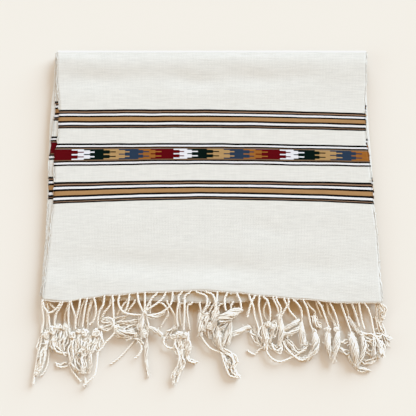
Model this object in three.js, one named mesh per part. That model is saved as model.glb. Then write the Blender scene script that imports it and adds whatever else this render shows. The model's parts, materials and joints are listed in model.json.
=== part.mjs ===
// A wool muffler, folded to a flat stack and laid down with both fringes at the near edge.
//
// The cloth is one length. It is folded in half and then in three, so six layers lie on each other:
//   layer 1 (top) is one end of the cloth, layer 2 is the other end, and the two turn down together
//   round the far fold. Layers 3 to 6 are hidden and share one solid, layered at its edges.
// Millimetres, +X right, +Y away from the fringe, +Z up. "Along" is a distance from the far fold
// towards the fringe, and "across" runs from the muffler's middle line.

import * as THREE from 'three';

// Cloth
const clothWall = 1.3;
const seamGap = 0.3;
const layerPitch = clothWall + seamGap;
const hiddenLayers = 4;

// The far fold: a soft roll that both flaps turn down round
const rollRadius = 5.5; // outside of the top flap
const rollCentreAlong = rollRadius;
const rollCentreHeight = 6;
const topFlapTurn = 34; // degrees past level at which each flap's wall ends on the layer below
const secondFlapTurn = 12;
const rollSteps = 9;

// The run from the roll to the hem
const runSteps = 17;
const runCrowding = 1.5; // above 1 puts more of the sections near the roll
const acrossSteps = 14;

// Height of the top flap's wall, middle of its thickness, above the surface
const runHeights = [
  { along: 5.5, height: 10.85 },
  { along: 14, height: 10.3 },
  { along: 26, height: 9.5 },
  { along: 60, height: 9.4 },
  { along: 150, height: 9.1 },
  { along: 225, height: 8.7 },
  { along: 260, height: 8.5 },
];

// Side edges of the two flaps, and of the core under them
const sideEdges = [
  { along: 0, topLeft: -156, topRight: 157.5, secondLeft: -157.5, secondRight: 157 },
  { along: 30, topLeft: -154.5, topRight: 156, secondLeft: -158, secondRight: 156.5 },
  { along: 62, topLeft: -153.5, topRight: 155, secondLeft: -159, secondRight: 156.5 },
  { along: 92, topLeft: -153.5, topRight: 156, secondLeft: -160.5, secondRight: 159 },
  { along: 110, topLeft: -155.5, topRight: 157.5, secondLeft: -161, secondRight: 159 },
  { along: 150, topLeft: -155, topRight: 158.5, secondLeft: -161, secondRight: 158.5 },
  { along: 195, topLeft: -157.5, topRight: 160.5, secondLeft: -160.5, secondRight: 160 },
  { along: 224, topLeft: -159.5, topRight: 161.5, secondLeft: -162, secondRight: 162 },
  { along: 256, topLeft: -161.5, topRight: 162.5, secondLeft: -164, secondRight: 164 },
];

// The two hems: how far along the cloth ends, for places across it
const hems = [
  { across: -165, top: 253, second: 250 },
  { across: -143, top: 254.5, second: 250.5 },
  { across: -120, top: 251, second: 251.5 },
  { across: -100, top: 248.5, second: 252 },
  { across: -60, top: 245.5, second: 253 },
  { across: -10, top: 243.8, second: 255 },
  { across: 25, top: 246, second: 254.5 },
  { across: 50, top: 249, second: 251 },
  { across: 85, top: 252, second: 249 },
  { across: 125, top: 255.5, second: 249 },
  { across: 165, top: 255.5, second: 251 },
];

// The core: its height at the far fold and at the near one, and how its layers step at the sides
const coreSections = [
  { along: 1.4, floor: 1.1, top: 2.4 },
  { along: 2.1, floor: 0.4, top: 3.2 },
  { along: 2.6, floor: 0.1, top: 4 },
  { along: 3.3, floor: 0, top: 4.5 },
  { along: 3.4, floor: 0, top: 6 },
  { along: 3.9, floor: 0, top: 7.5 },
  { along: 5.5, floor: 0, top: 8.25 },
  { along: 14, floor: 0, top: 7.7 },
  { along: 26, floor: 0, top: 6.9 },
  { along: 60, floor: 0, top: 6.8 },
  { along: 105, floor: 0, top: 6.65 },
  { along: 150, floor: 0, top: 6.5 },
  { along: 190, floor: 0, top: 6.3 },
  { along: 225, floor: 0, top: 6.1 },
  { along: 240, floor: 0, top: 6 },
  { along: 244.5, floor: 0.25, top: 5.6 },
  { along: 246.5, floor: 1, top: 4.8 },
  { along: 247.4, floor: 2.2, top: 3.7 },
];
const layerSteps = [
  { left: 1.5, right: 2 }, // layer 6, on the surface
  { left: 3, right: 1 },
  { left: 2, right: 3 },
  { left: 0.6, right: 1 }, // layer 3, under the second flap
];
const layerGroove = 1.2; // how far the valley between two layers goes in

// The fringes: knotted clumps of twisted cords, each a lobe of the solid's near edge
const fringeWall = 2.2;
const fringeGap = 0.7; // between the two fringes, which follow each other only roughly
const fallSteps = 8;
const lyingSteps = 3;
const fringeAcrossSteps = 4 * acrossSteps;
const fringeBase = 287; // how far along the cords reach between clumps
const landing = 28; // how far past the hem the cords come down on the surface
const fringeSpread = 1.05; // tips stand wider than the hem
const spreadOver = 60;
const clumps = [
  { across: -163, half: 6, second: 327, top: 300 },
  { across: -150, half: 11, second: 311, top: 309 },
  { across: -121, half: 13, second: 333, top: 318 },
  { across: -88, half: 20, second: 289, top: 286 },
  { across: -62, half: 5, second: 324, top: 310 },
  { across: -37, half: 9, second: 329, top: 300 },
  { across: -20, half: 9, second: 311, top: 305 },
  { across: 0, half: 11, second: 300, top: 294 },
  { across: 17, half: 9, second: 325, top: 312 },
  { across: 42, half: 9, second: 303, top: 290 },
  { across: 64, half: 13, second: 310, top: 304 },
  { across: 87, half: 11, second: 308, top: 302 },
  { across: 114, half: 9, second: 307, top: 301 },
  { across: 141, half: 13, second: 320, top: 306 },
  { across: 160, half: 9, second: 306, top: 298 },
];

const degree = Math.PI / 180;

function smoothStep(t) {
  const held = THREE.MathUtils.clamp(t, 0, 1);
  return held * held * (3 - 2 * held);
}

// Reads a column of a table at a place between its rows, easing from row to row.
function read(rows, key, place, column) {
  const found = rows.findIndex((row) => row[key] >= place);
  const next = found < 0 ? rows.length - 1 : Math.max(found, 1);
  const before = rows[next - 1];
  const after = rows[next];
  const share = smoothStep((place - before[key]) / (after[key] - before[key]));
  return THREE.MathUtils.lerp(before[column], after[column], share);
}

// A closed wall between two grids of points that have the same rows and columns.
function wallBetween(upper, lower) {
  const rows = upper.length;
  const columns = upper[0].length;
  const positions = [...upper, ...lower].flat().flatMap((point) => [point.x, point.y, point.z]);
  const indices = [];
  const top = (row, column) => row * columns + column;
  const bottom = (row, column) => (rows + row) * columns + column;
  const quad = (a, b, c, d) => indices.push(a, c, b, a, d, c);
  const lastRow = rows - 1;
  const lastColumn = columns - 1;
  for (let row = 0; row < lastRow; row += 1) {
    const next = row + 1;
    for (let column = 0; column < lastColumn; column += 1) {
      const beside = column + 1;
      quad(top(row, column), top(next, column), top(next, beside), top(row, beside));
      quad(bottom(row, column), bottom(row, beside), bottom(next, beside), bottom(next, column));
    }
    quad(top(row, 0), bottom(row, 0), bottom(next, 0), top(next, 0));
    quad(top(row, lastColumn), top(next, lastColumn), bottom(next, lastColumn), bottom(row, lastColumn));
  }
  for (let column = 0; column < lastColumn; column += 1) {
    const beside = column + 1;
    quad(top(0, column), top(0, beside), bottom(0, beside), bottom(0, column));
    quad(top(lastRow, column), bottom(lastRow, column), bottom(lastRow, beside), top(lastRow, beside));
  }
  return closedGeometry(positions, indices);
}

// A closed solid through rings of points, with a flat cap on the first and the last.
function loft(rings) {
  const count = rings[0].length;
  const positions = rings.flat().flatMap((point) => [point.x, point.y, point.z]);
  const indices = [];
  for (let ring = 0; ring < rings.length - 1; ring += 1) {
    for (let index = 0; index < count; index += 1) {
      const near = ring * count + index;
      const beside = ring * count + ((index + 1) % count);
      indices.push(near, beside, near + count, beside, beside + count, near + count);
    }
  }
  const caps = [
    { ring: rings[0], start: 0, turned: false },
    { ring: rings[rings.length - 1], start: (rings.length - 1) * count, turned: true },
  ];
  for (const { ring, start, turned } of caps) {
    const flat = ring.map((point) => new THREE.Vector2(point.x, point.z));
    for (const [a, b, c] of THREE.ShapeUtils.triangulateShape(flat, [])) {
      indices.push(start + a, start + (turned ? b : c), start + (turned ? c : b));
    }
  }
  return closedGeometry(positions, indices);
}

function closedGeometry(positions, indices) {
  const geometry = new THREE.BufferGeometry();
  geometry.setAttribute('position', new THREE.Float32BufferAttribute(positions, 3));
  geometry.setIndex(indices);
  geometry.computeVertexNormals();
  return geometry;
}

function woolMaterial(color) {
  return new THREE.MeshStandardMaterial({ color, roughness: 0.95, metalness: 0 });
}

// A point of a flap: "share" goes across it, "step" along it from its hem to the end of its turn.
// "side" is 1 on the upper face, -1 on the lower and 0 halfway through the wall.
function flapPoint(flap, share, step, side) {
  const offset = side * clothWall / 2;
  if (step <= runSteps) {
    const hemAcross = THREE.MathUtils.lerp(hems[0].across, hems[hems.length - 1].across, share);
    const hem = read(hems, 'across', hemAcross, flap.name);
    const run = Math.pow(step / runSteps, 1 / runCrowding);
    const along = THREE.MathUtils.lerp(hem, rollCentreAlong, run);
    const height = read(runHeights, 'along', along, 'height') - flap.layersDown * layerPitch;
    return new THREE.Vector3(acrossAt(flap, share, along), -along, height + offset);
  }
  const angle = THREE.MathUtils.lerp(90, -flap.turn, (step - runSteps) / rollSteps) * degree;
  const radius = rollRadius - clothWall / 2 - flap.layersDown * layerPitch + offset;
  const along = rollCentreAlong - radius * Math.cos(angle);
  const height = rollCentreHeight + radius * Math.sin(angle);
  return new THREE.Vector3(acrossAt(flap, share, along), -along, height);
}

function acrossAt(flap, share, along) {
  const left = read(sideEdges, 'along', along, `${flap.name}Left`);
  const right = read(sideEdges, 'along', along, `${flap.name}Right`);
  return THREE.MathUtils.lerp(left, right, share);
}

function flapSurface(flap, side) {
  return Array.from({ length: runSteps + rollSteps + 1 }, (_, step) =>
    Array.from({ length: acrossSteps + 1 }, (_, column) =>
      flapPoint(flap, column / acrossSteps, step, side)));
}

function flapMesh(flap, nodeName) {
  const geometry = wallBetween(flapSurface(flap, 1), flapSurface(flap, -1));
  const mesh = new THREE.Mesh(geometry, woolMaterial('#e9e9e2'));
  mesh.name = nodeName;
  return mesh;
}

// One section of the core: flat underneath, stepped and grooved up each side, level on top.
function coreRing({ along, floor, top }) {
  const layerHeight = (top - floor) / hiddenLayers;
  const edge = (side, layer, inward) => {
    const outline = read(sideEdges, 'along', along, side < 0 ? 'secondLeft' : 'secondRight');
    const step = side < 0 ? layerSteps[layer].left : layerSteps[layer].right;
    return outline - side * (step + inward);
  };
  const climb = (side) => layerSteps.flatMap((_, layer) => [
    { x: edge(side, layer, layerGroove), z: floor + layer * layerHeight + 0.05 * layerHeight },
    { x: edge(side, layer, 0), z: floor + (layer + 0.3) * layerHeight },
    { x: edge(side, layer, 0), z: floor + (layer + 0.7) * layerHeight },
    { x: edge(side, layer, layerGroove), z: floor + (layer + 0.95) * layerHeight },
  ]);
  const right = climb(1);
  const left = climb(-1).reverse();
  right[0].z = floor;
  right[right.length - 1].z = top;
  left[0].z = top;
  left[left.length - 1].z = floor;
  return [...right, ...left].map(({ x, z }) => new THREE.Vector3(x, -along, z));
}

function coreMesh() {
  const mesh = new THREE.Mesh(loft(coreSections.map(coreRing)), woolMaterial('#dedfd4'));
  mesh.name = 'folded_core';
  return mesh;
}

// How far along a fringe reaches, at a place across it: the longest lobe that covers the place.
function fringeReach(column, across) {
  const lobes = clumps.map((clump) => {
    const off = (across - clump.across) / clump.half;
    return fringeBase + (clump[column] - fringeBase) * Math.exp(-(off ** 4));
  });
  return Math.max(...lobes);
}

// A fringe runs on from its hem, comes down to the surface and lies on it to its tips. The top fringe
// lies on the second one all the way, so both have come down at the same line.
function fringePoint(flap, share, step, side) {
  const hem = hemPoint(flap, share);
  const secondHem = hemPoint(secondFlap, share);
  const start = -hem.y + seamGap;
  const downAt = -secondHem.y + landing;
  const spreadAcross = hem.x * fringeSpread;
  const along = step <= fallSteps
    ? THREE.MathUtils.lerp(start, downAt, step / fallSteps)
    : THREE.MathUtils.lerp(downAt, fringeReach(flap.name, spreadAcross), (step - fallSteps) / lyingSteps);
  const fall = smoothStep((along + secondHem.y) / landing);
  const wall = THREE.MathUtils.lerp(clothWall, fringeWall, fall);
  const under = (1 - fall) * (secondHem.z - clothWall / 2);
  const height = under + (1 - flap.layersDown) * (wall + fringeGap) + (1 + side) * wall / 2;
  const across = THREE.MathUtils.lerp(hem.x, spreadAcross, smoothStep((along - start) / spreadOver));
  return new THREE.Vector3(across, -along, height);
}

// The rows run from the tips back to the hem, the same way as a flap's run from its hem to the roll.
function fringeSurface(flap, side) {
  const lastStep = fallSteps + lyingSteps;
  return Array.from({ length: lastStep + 1 }, (_, row) =>
    Array.from({ length: fringeAcrossSteps + 1 }, (_, column) =>
      fringePoint(flap, column / fringeAcrossSteps, lastStep - row, side)));
}

// The middle of a hem's end face, on the straight edge between two of the flap's own columns.
function hemPoint(flap, share) {
  const column = Math.min(Math.floor(share * acrossSteps), acrossSteps - 1);
  const before = flapPoint(flap, column / acrossSteps, 0, 0);
  const after = flapPoint(flap, (column + 1) / acrossSteps, 0, 0);
  return before.lerp(after, share * acrossSteps - column);
}

function fringeMesh(flap, nodeName) {
  const geometry = wallBetween(fringeSurface(flap, 1), fringeSurface(flap, -1));
  const mesh = new THREE.Mesh(geometry, woolMaterial('#efece3'));
  mesh.name = nodeName;
  return mesh;
}

const topFlap = { name: 'top', layersDown: 0, turn: topFlapTurn };
const secondFlap = { name: 'second', layersDown: 1, turn: secondFlapTurn };

const muffler = new THREE.Group();
muffler.add(coreMesh());
muffler.add(flapMesh(secondFlap, 'second_flap'));
muffler.add(flapMesh(topFlap, 'top_flap'));
muffler.add(fringeMesh(secondFlap, 'second_fringe'));
muffler.add(fringeMesh(topFlap, 'top_fringe'));

// The origin is under the middle of the whole muffler, fringes included.
const centre = new THREE.Box3().setFromObject(muffler).getCenter(new THREE.Vector3());
muffler.position.set(-centre.x, -centre.y, 0);

export default muffler;
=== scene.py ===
import json
import math
import random

import bpy
import numpy as np
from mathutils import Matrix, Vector

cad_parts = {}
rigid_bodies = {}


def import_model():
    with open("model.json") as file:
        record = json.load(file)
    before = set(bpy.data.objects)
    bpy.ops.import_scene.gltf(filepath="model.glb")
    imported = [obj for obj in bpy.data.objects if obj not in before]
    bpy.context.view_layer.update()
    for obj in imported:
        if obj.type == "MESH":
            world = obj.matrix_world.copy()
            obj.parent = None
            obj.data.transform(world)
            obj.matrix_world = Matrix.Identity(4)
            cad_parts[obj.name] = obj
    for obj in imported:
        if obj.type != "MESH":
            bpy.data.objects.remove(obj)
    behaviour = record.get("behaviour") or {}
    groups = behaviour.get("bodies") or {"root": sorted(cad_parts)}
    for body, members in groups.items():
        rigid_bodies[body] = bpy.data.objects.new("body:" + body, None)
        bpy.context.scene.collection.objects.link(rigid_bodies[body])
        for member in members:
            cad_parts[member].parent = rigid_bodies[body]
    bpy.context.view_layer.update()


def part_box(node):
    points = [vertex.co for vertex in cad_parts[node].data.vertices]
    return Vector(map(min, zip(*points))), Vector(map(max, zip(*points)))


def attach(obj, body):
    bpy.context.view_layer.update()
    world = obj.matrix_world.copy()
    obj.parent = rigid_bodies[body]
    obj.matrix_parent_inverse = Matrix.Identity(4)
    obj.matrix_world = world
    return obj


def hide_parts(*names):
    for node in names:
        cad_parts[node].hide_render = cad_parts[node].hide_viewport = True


for leftover in list(bpy.data.objects):
    bpy.data.objects.remove(leftover)

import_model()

mm = 0.001
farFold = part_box("top_flap")[1].y  # the far fold's outside: 0 mm along the cloth


# Every place below is given in mm: across from the muffler's middle line, along from the far fold
# towards the fringe, and height above the surface it lies on.
def place(across, along, height):
    return Vector((across * mm, farFold - along * mm, height * mm))


def table(columns, *rows):
    return [dict(zip(columns.split(), row)) for row in rows]


def smoothStep(share):
    held = min(max(share, 0.0), 1.0)
    return held * held * (3 - 2 * held)


def mix(low, high, share):
    return low + (high - low) * share


# Reads a column of a table at a place between its rows, easing from row to row.
def read(rows, key, where, column):
    upper = next((row for row in rows[1:] if row[key] >= where), rows[-1])
    lower = rows[rows.index(upper) - 1]
    share = smoothStep((where - lower[key]) / (upper[key] - lower[key]))
    return mix(lower[column], upper[column], share)


def hexColour(text):
    parts = [int(text[i:i + 2], 16) / 255 for i in (1, 3, 5)]
    return [c / 12.92 if c <= 0.04045 else ((c + 0.055) / 1.055) ** 2.4 for c in parts] + [1.0]


# Adds a node. "inputs" gives a socket, by name or number, a value or what feeds it.
def addNode(tree, kind, inputs=None, **settings):
    node = tree.nodes.new(kind)
    for name, value in settings.items():
        setattr(node, name, value)
    for socket, value in (inputs or {}).items():
        if isinstance(value, bpy.types.Node):
            value = next(output for output in value.outputs if output.enabled)
        if isinstance(value, bpy.types.NodeSocket):
            tree.links.new(value, node.inputs[socket])
        else:
            node.inputs[socket].default_value = value
    return node


# The floor, the camera and the lights

studio = {
    "aimAcross": -3.5,
    "aimAlong": 160.5,
    "tilt": 12,  # degrees off straight down
    "distance": 950,
    "lens": 83.4,
    "floorSide": 40.0,  # in metres, so that a low view doesn't see its end
    "floorColour": "#f6efe3",
    # painted shade: the warm brown laid on the floor close under the wool
    "paintedShadeUnderWool": "#e8d8bc",
    "whitePoint": 0.93,
    "kneeAt": 0.86,
}


def newMaterial(name):
    material = bpy.data.materials.new(name)
    material.use_nodes = True
    material.node_tree.nodes.clear()
    return material, material.node_tree


def makePaperFloorMaterial():
    # Matte coated paper: no gloss, with a very faint tooth
    material, tree = newMaterial("matteStudioPaper")
    where = addNode(tree, "ShaderNodeTexCoord")
    tooth = addNode(tree, "ShaderNodeTexNoise", {
        "Vector": where.outputs["Object"], "Scale": 900.0, "Detail": 2.0})
    bump = addNode(tree, "ShaderNodeBump", {"Height": tooth.outputs[0], "Strength": 0.15, "Distance": 0.0001})
    # Painted shade: close under the wool, where ambient occlusion finds the paper hemmed in, it is painted a
    # warm brown
    near = addNode(tree, "ShaderNodeAmbientOcclusion", {"Distance": 12 * mm}, samples=8)
    unshadedShare = addNode(tree, "ShaderNodeMapRange", {0: near.outputs["AO"], 1: 0.1, 2: 0.65, 3: 0.0, 4: 1.0})
    paper = addNode(tree, "ShaderNodeMix", {
        0: unshadedShare,
        6: hexColour(studio["paintedShadeUnderWool"]),
        7: hexColour(studio["floorColour"]),
    }, data_type="RGBA")
    shader = addNode(tree, "ShaderNodeBsdfPrincipled", {
        "Base Color": paper.outputs[2],
        "Roughness": 0.95,
        "Specular IOR Level": 0.1,
        "Normal": bump,
    })
    addNode(tree, "ShaderNodeOutputMaterial", {"Surface": shader})
    return material


half = studio["floorSide"] / 2
floorMesh = bpy.data.meshes.new("floor")
floorCorners = [(-half, -half, 0), (half, -half, 0), (half, half, 0), (-half, half, 0)]
floorMesh.from_pydata(floorCorners, [], [(0, 1, 2, 3)])
floorMesh.materials.append(makePaperFloorMaterial())
floor = bpy.data.objects.new("floor", floorMesh)
bpy.context.scene.collection.objects.link(floor)

aim = place(studio["aimAcross"], studio["aimAlong"], 0)
tilt = math.radians(studio["tilt"])
camera = bpy.data.objects.new("camera", bpy.data.cameras.new("camera"))
camera.data.lens = studio["lens"]
camera.location = aim + Vector((0, -math.sin(tilt), math.cos(tilt))) * studio["distance"] * mm
camera.rotation_euler = (tilt, 0, 0)
bpy.context.scene.collection.objects.link(camera)
bpy.context.scene.camera = camera

# Two wide soft sources stand behind the muffler, the stronger one to the right, with a faint one to the left
# and a weak brown room light. What they give a level surface adds up to 1 in red, green and blue. A fourth
# lights only the loose yarn, whose hairs pass light on to each other, and only cloth shades the back light.
roomFill = (0.41, 0.235, 0.09)
lightLeft = [1 - part for part in roomFill]
softLights = table(
    "name towards rise softness share colour lit blockers",  # degrees, and a share of a level surface's light
    ("windowLight", 48, 17, 52, 0.61, lightLeft, "all", "all"),
    ("backLight", 100, 16, 36, 0.31, lightLeft, "all", "cloth"),
    ("sideLight", 190, 16, 50, 0.08, lightLeft, "all", "all"),
    ("yarnLight", 80, 60, 45, 0.28, (0.92, 0.87, 0.78), "yarn", "all"),
)
lightGroups = {name: bpy.data.collections.new(name + "Only") for name in ("cloth", "yarn")}

for source in softLights:
    rise, towards = math.radians(source["rise"]), math.radians(source["towards"])
    lamp = bpy.data.objects.new(source["name"], bpy.data.lights.new(source["name"], "SUN"))
    brightest = max(source["colour"])
    lamp.data.energy = source["share"] * brightest * math.pi / math.sin(rise)
    lamp.data.color = [part / brightest for part in source["colour"]]
    lamp.data.angle = math.radians(source["softness"])
    lamp.data.cycles.max_bounces = 0  # keeps the gaps of the fringe deep
    toLamp = Vector((math.cos(rise) * math.cos(towards), math.cos(rise) * math.sin(towards), math.sin(rise)))
    lamp.rotation_euler = (-toLamp).to_track_quat("-Z", "Y").to_euler()
    bpy.context.scene.collection.objects.link(lamp)
    if source["lit"] in lightGroups:
        lamp.light_linking.receiver_collection = lightGroups[source["lit"]]
    if source["blockers"] in lightGroups:
        lamp.light_linking.blocker_collection = lightGroups[source["blockers"]]

world = bpy.data.worlds.new("room")
world.use_nodes = True
world.node_tree.nodes["Background"].inputs["Color"].default_value = [*roomFill, 1]
bpy.context.scene.world = world

# Whites level off just above the floor's own white, as they do in a bright studio
view = bpy.context.scene.view_settings
view.view_transform = "Standard"
view.use_curve_mapping = True
whites = view.curve_mapping.curves[3].points
whites[0].location = (0, 0)
whites[1].location = (1, studio["whitePoint"])
whites.new(studio["kneeAt"], studio["kneeAt"])
view.curve_mapping.extend = "HORIZONTAL"
view.curve_mapping.update()
print("floor, camera and light are ready")


# The cloth. Its heights and edges follow the solids, drawn more closely, and it has the soft folds that they
# leave out.

cloth = {
    "wall": 1.3,
    "rim": 0.585,  # how far the wall's rounded rim stands out
    "layerPitch": 1.6,
    "hemSag": 1.3,  # how far the second hem droops in front of the layers under it
    "sagFrom": 241,
    "sagOver": 13,
    "rollHeight": 6.0,
    "rollDrop": 4.85,  # how far the fold comes down from there
    "rollDepth": 1.85,
    "rollPress": 0.6,  # 1 for a round fold, less for one that has been pressed
    "topTurn": 34,
    "secondTurn": 12,
    "rollSteps": 20,
    "acrossSteps": 192,
    "runSteps": 158,
}

runHeights = table(
    "along height",
    (2.5, 10.2), (5.5, 10.37), (8.5, 10.54), (11, 10.62), (14, 10.64), (17, 10.59), (20, 10.5), (24, 10.35),
    (28, 10.18), (32, 10.05), (36, 9.98), (60, 9.75), (105, 9.4), (150, 9.1), (196, 8.85), (222, 8.58),
    (240, 8.68), (260, 8.72),
)
sideEdges = table(
    "along topLeft topRight secondLeft secondRight coreLeft coreRight",
    (0, -155.8, 156, -156.8, 156.5, -158, 156.8),
    (30, -154.6, 154.8, -156.4, 155, -159.4, 156.5),
    (62, -151.4, 152.3, -155, 153.4, -161.2, 157),
    (80, -151.6, 152.5, -157, 154, -162, 157.6),
    (97, -152, 152.2, -158.4, 154, -162, 158.5),
    (108, -154.6, 154.4, -159.4, 155, -161.8, 159),
    (118, -154.8, 155.6, -160.4, 156.6, -162, 159.4),
    (135, -154, 156.4, -159.4, 157.6, -162, 159.6),
    (150, -154, 157, -159.4, 158, -162, 160),
    (195, -157, 160.5, -160.8, 160, -162.4, 161.5),
    (224, -159.3, 161.5, -162.3, 162, -163.4, 162.5),
    (256, -161.5, 162.5, -164, 164, -165, 164),
)
hems = table(
    "across top second",
    (-165, 253, 250), (-143, 254.5, 250.5), (-120, 251, 251.5), (-100, 248.5, 252), (-60, 245.5, 253),
    (-10, 243.8, 255), (25, 246, 254.5), (50, 249, 251), (85, 252, 249), (125, 255.5, 249), (165, 255.5, 251),
)
hemEnd = 165  # the hems table reaches this far to both sides

# Soft hollows (below zero) and swells of the cloth. "turn" swings a fold's length towards the hem.
softFolds = table(
    "across along length width depth turn",
    (-122, 29, 26, 9, -0.55, 4),
    (-78, 27, 26, 8, -0.3, -3),
    (-32, 29, 18, 9, -0.5, 6),
    (-8, 34, 16, 8, -0.4, -12),
    (40, 29, 26, 9, -0.55, 5),
    (88, 27, 22, 8, -0.3, -5),
    (126, 27, 20, 8, 0.1, 3),
    (-142, 38, 34, 8, -0.14, 0),
    (-92, 38, 30, 8, -0.11, 0),
    (20, 38, 50, 8, -0.07, 0),
    (-140, 8, 22, 6, 0.2, 0),
    (10, 8, 30, 6, 0.25, 0),
    (80, 8, 26, 6, 0.15, 0),
    (-66, 218, 54, 11, -0.5, 6),
    (22, 222, 40, 11, -0.5, 8),
    (100, 222, 26, 11, -0.35, 8),
    (52, 183, 22, 8, -0.25, 15),
    (-6, 240, 26, 11, 0.45, 0),
    (-152, 238, 14, 12, 0.4, 0),
    (140, 238, 26, 12, 0.3, 6),
    (-100, 232, 34, 10, 0.2, 8),
    (-110, 60, 40, 16, 0.15, 6),
    (100, 50, 40, 14, -0.15, -8),
    (-90, 178, 50, 14, 0.2, -6),
    (120, 168, 40, 14, 0.2, 4),
)


def softFoldHeight(across, along):
    height = 0.0
    for fold in softFolds:
        turn = math.radians(fold["turn"])
        aside, down = across - fold["across"], along - fold["along"]
        lengthwise = (aside * math.cos(turn) + down * math.sin(turn)) / fold["length"]
        sideways = (down * math.cos(turn) - aside * math.sin(turn)) / fold["width"]
        distance = lengthwise * lengthwise + sideways * sideways
        if distance < 6:
            height += fold["depth"] * math.exp(-distance)
    return height


def runHeight(across, along):
    return read(runHeights, "along", along, "height") + softFoldHeight(across, along)


def flapHeight(across, along, layersDown):
    sag = cloth["hemSag"] * smoothStep((along - cloth["sagFrom"]) / cloth["sagOver"])
    return runHeight(across, along) - layersDown * (cloth["layerPitch"] + sag)


# How far a weft thread strays towards the hem from where it is on the middle line
bows = table(
    "along left right",
    (0, 0, 1), (61, 0.5, 4.5), (80, 0.5, 3), (97, 0.5, 3), (118, 2, 2.5), (135, 2, 2.5),
    (154, 4.5, 4.5), (190, 5.5, 6), (225, 8, 8.5), (255, 10.5, 11.5),
)
bowCentre = -11
bowReach = {"left": 146, "right": 168}


def weftBow(across, along):
    side = "left" if across < bowCentre else "right"
    share = abs(across - bowCentre) / bowReach[side]
    return read(bows, "along", along, side) * share ** 1.5


def layWeave(mesh, weave):
    layer = mesh.uv_layers.new(name="weave")
    corners = np.zeros(len(mesh.loops), int)
    mesh.loops.foreach_get("vertex_index", corners)
    layer.data.foreach_set("uv", np.asarray(weave, float)[corners].ravel())


def makeMesh(name, points, faces, weave=None):
    mesh = bpy.data.meshes.new(name)
    mesh.from_pydata([tuple(point) for point in points], [], faces)
    mesh.shade_smooth()
    if weave is not None:
        layWeave(mesh, weave)
    piece = bpy.data.objects.new(name, mesh)
    bpy.context.scene.collection.objects.link(piece)
    return piece


# A closed wall round a grid of points that lies in the middle of the cloth, with a rounded rim.
def makeShell(name, middle, weave, wall, rimReach):
    middle, weave = np.array(middle), np.array(weave)
    rows, columns = middle.shape[:2]
    normal = np.cross(np.gradient(middle, axis=1), np.gradient(middle, axis=0))
    normal /= np.linalg.norm(normal, axis=2, keepdims=True)
    upper = (middle + normal * wall / 2).reshape(-1, 3)
    lower = (middle - normal * wall / 2).reshape(-1, 3)
    rim = (
        [(0, c) for c in range(columns)]
        + [(r, columns - 1) for r in range(1, rows)]
        + [(rows - 1, c) for c in range(columns - 2, -1, -1)]
        + [(r, 0) for r in range(rows - 2, 0, -1)]
    )
    rimPoints = []
    for r, c in rim:
        inner = middle[min(max(r, 1), rows - 2), min(max(c, 1), columns - 2)]
        outward = middle[r, c] - inner
        rimPoints.append(middle[r, c] + outward / np.linalg.norm(outward) * rimReach)
    count = rows * columns
    faces = []
    for r in range(rows - 1):
        for c in range(columns - 1):
            a, b = r * columns + c, (r + 1) * columns + c
            faces.append((a, a + 1, b + 1, b))
            faces.append((count + a, count + b, count + b + 1, count + a + 1))
    for i, (r, c) in enumerate(rim):
        r2, c2 = rim[(i + 1) % len(rim)]
        a, b = r * columns + c, r2 * columns + c2
        edgeA, edgeB = 2 * count + i, 2 * count + (i + 1) % len(rim)
        faces.append((a, edgeA, edgeB, b))
        faces.append((edgeA, count + a, count + b, edgeB))
    flatWeave = weave.reshape(-1, 2)
    rimWeave = [weave[r, c] for r, c in rim]
    return makeMesh(name, [*upper, *lower, *rimPoints], faces, [*flatWeave, *flatWeave, *rimWeave])


# The fold, from its crest round to the back: how far out, how far up (1 at the crest) and how far along
def rollProfile(turn):
    profile = [(0.0, 1.0, 0.0)]
    for step in range(1, cloth["rollSteps"] + 1):
        angle = math.radians(mix(90, -turn, step / cloth["rollSteps"]))
        press = cloth["rollPress"] if angle > 0 else 1
        out = cloth["rollDepth"] * math.cos(angle) ** press
        up = math.copysign(abs(math.sin(angle)) ** press, angle)
        lastOut, lastUp, length = profile[-1]
        profile.append((out, up, length + math.hypot(out - lastOut, (up - lastUp) * cloth["rollDrop"])))
    return profile


def makeFlap(name, column, layersDown, turn):
    middle, weave = [], []
    roll = cloth["rollDepth"] + cloth["wall"] / 2 + layersDown * cloth["layerPitch"]
    profile = rollProfile(turn)
    for step in range(cloth["runSteps"] + cloth["rollSteps"] + 1):
        middleRow, weaveRow = [], []
        for c in range(cloth["acrossSteps"] + 1):
            share = c / cloth["acrossSteps"]
            if step <= cloth["runSteps"]:
                hem = read(hems, "across", mix(-hemEnd, hemEnd, share), column) - cloth["rim"]
                along = mix(hem, roll, step / cloth["runSteps"])
                distance = along
            else:
                out, up, length = profile[step - cloth["runSteps"]]
                along = roll - out
                distance = roll - length
            across = mix(
                read(sideEdges, "along", along, column + "Left") + cloth["rim"],
                read(sideEdges, "along", along, column + "Right") - cloth["rim"],
                share,
            )
            if step <= cloth["runSteps"]:
                height = flapHeight(across, along, layersDown)
            else:
                crest = flapHeight(across, roll, layersDown) - cloth["rollHeight"]
                drop = cloth["rollDrop"] - layersDown * cloth["layerPitch"]
                height = cloth["rollHeight"] + (crest if up > 0 else drop) * up
            middleRow.append(place(across, along, height))
            weaveRow.append((across * mm, (distance - weftBow(across, along)) * mm))
        middle.append(middleRow)
        weave.append(weaveRow)
    return makeShell(name, middle, weave, cloth["wall"] * mm, cloth["rim"] * mm)


topCloth = makeFlap("topFlapCloth", "top", 0, cloth["topTurn"])
secondCloth = makeFlap("secondFlapCloth", "second", 1, cloth["secondTurn"])
print("both flaps are made")


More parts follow.
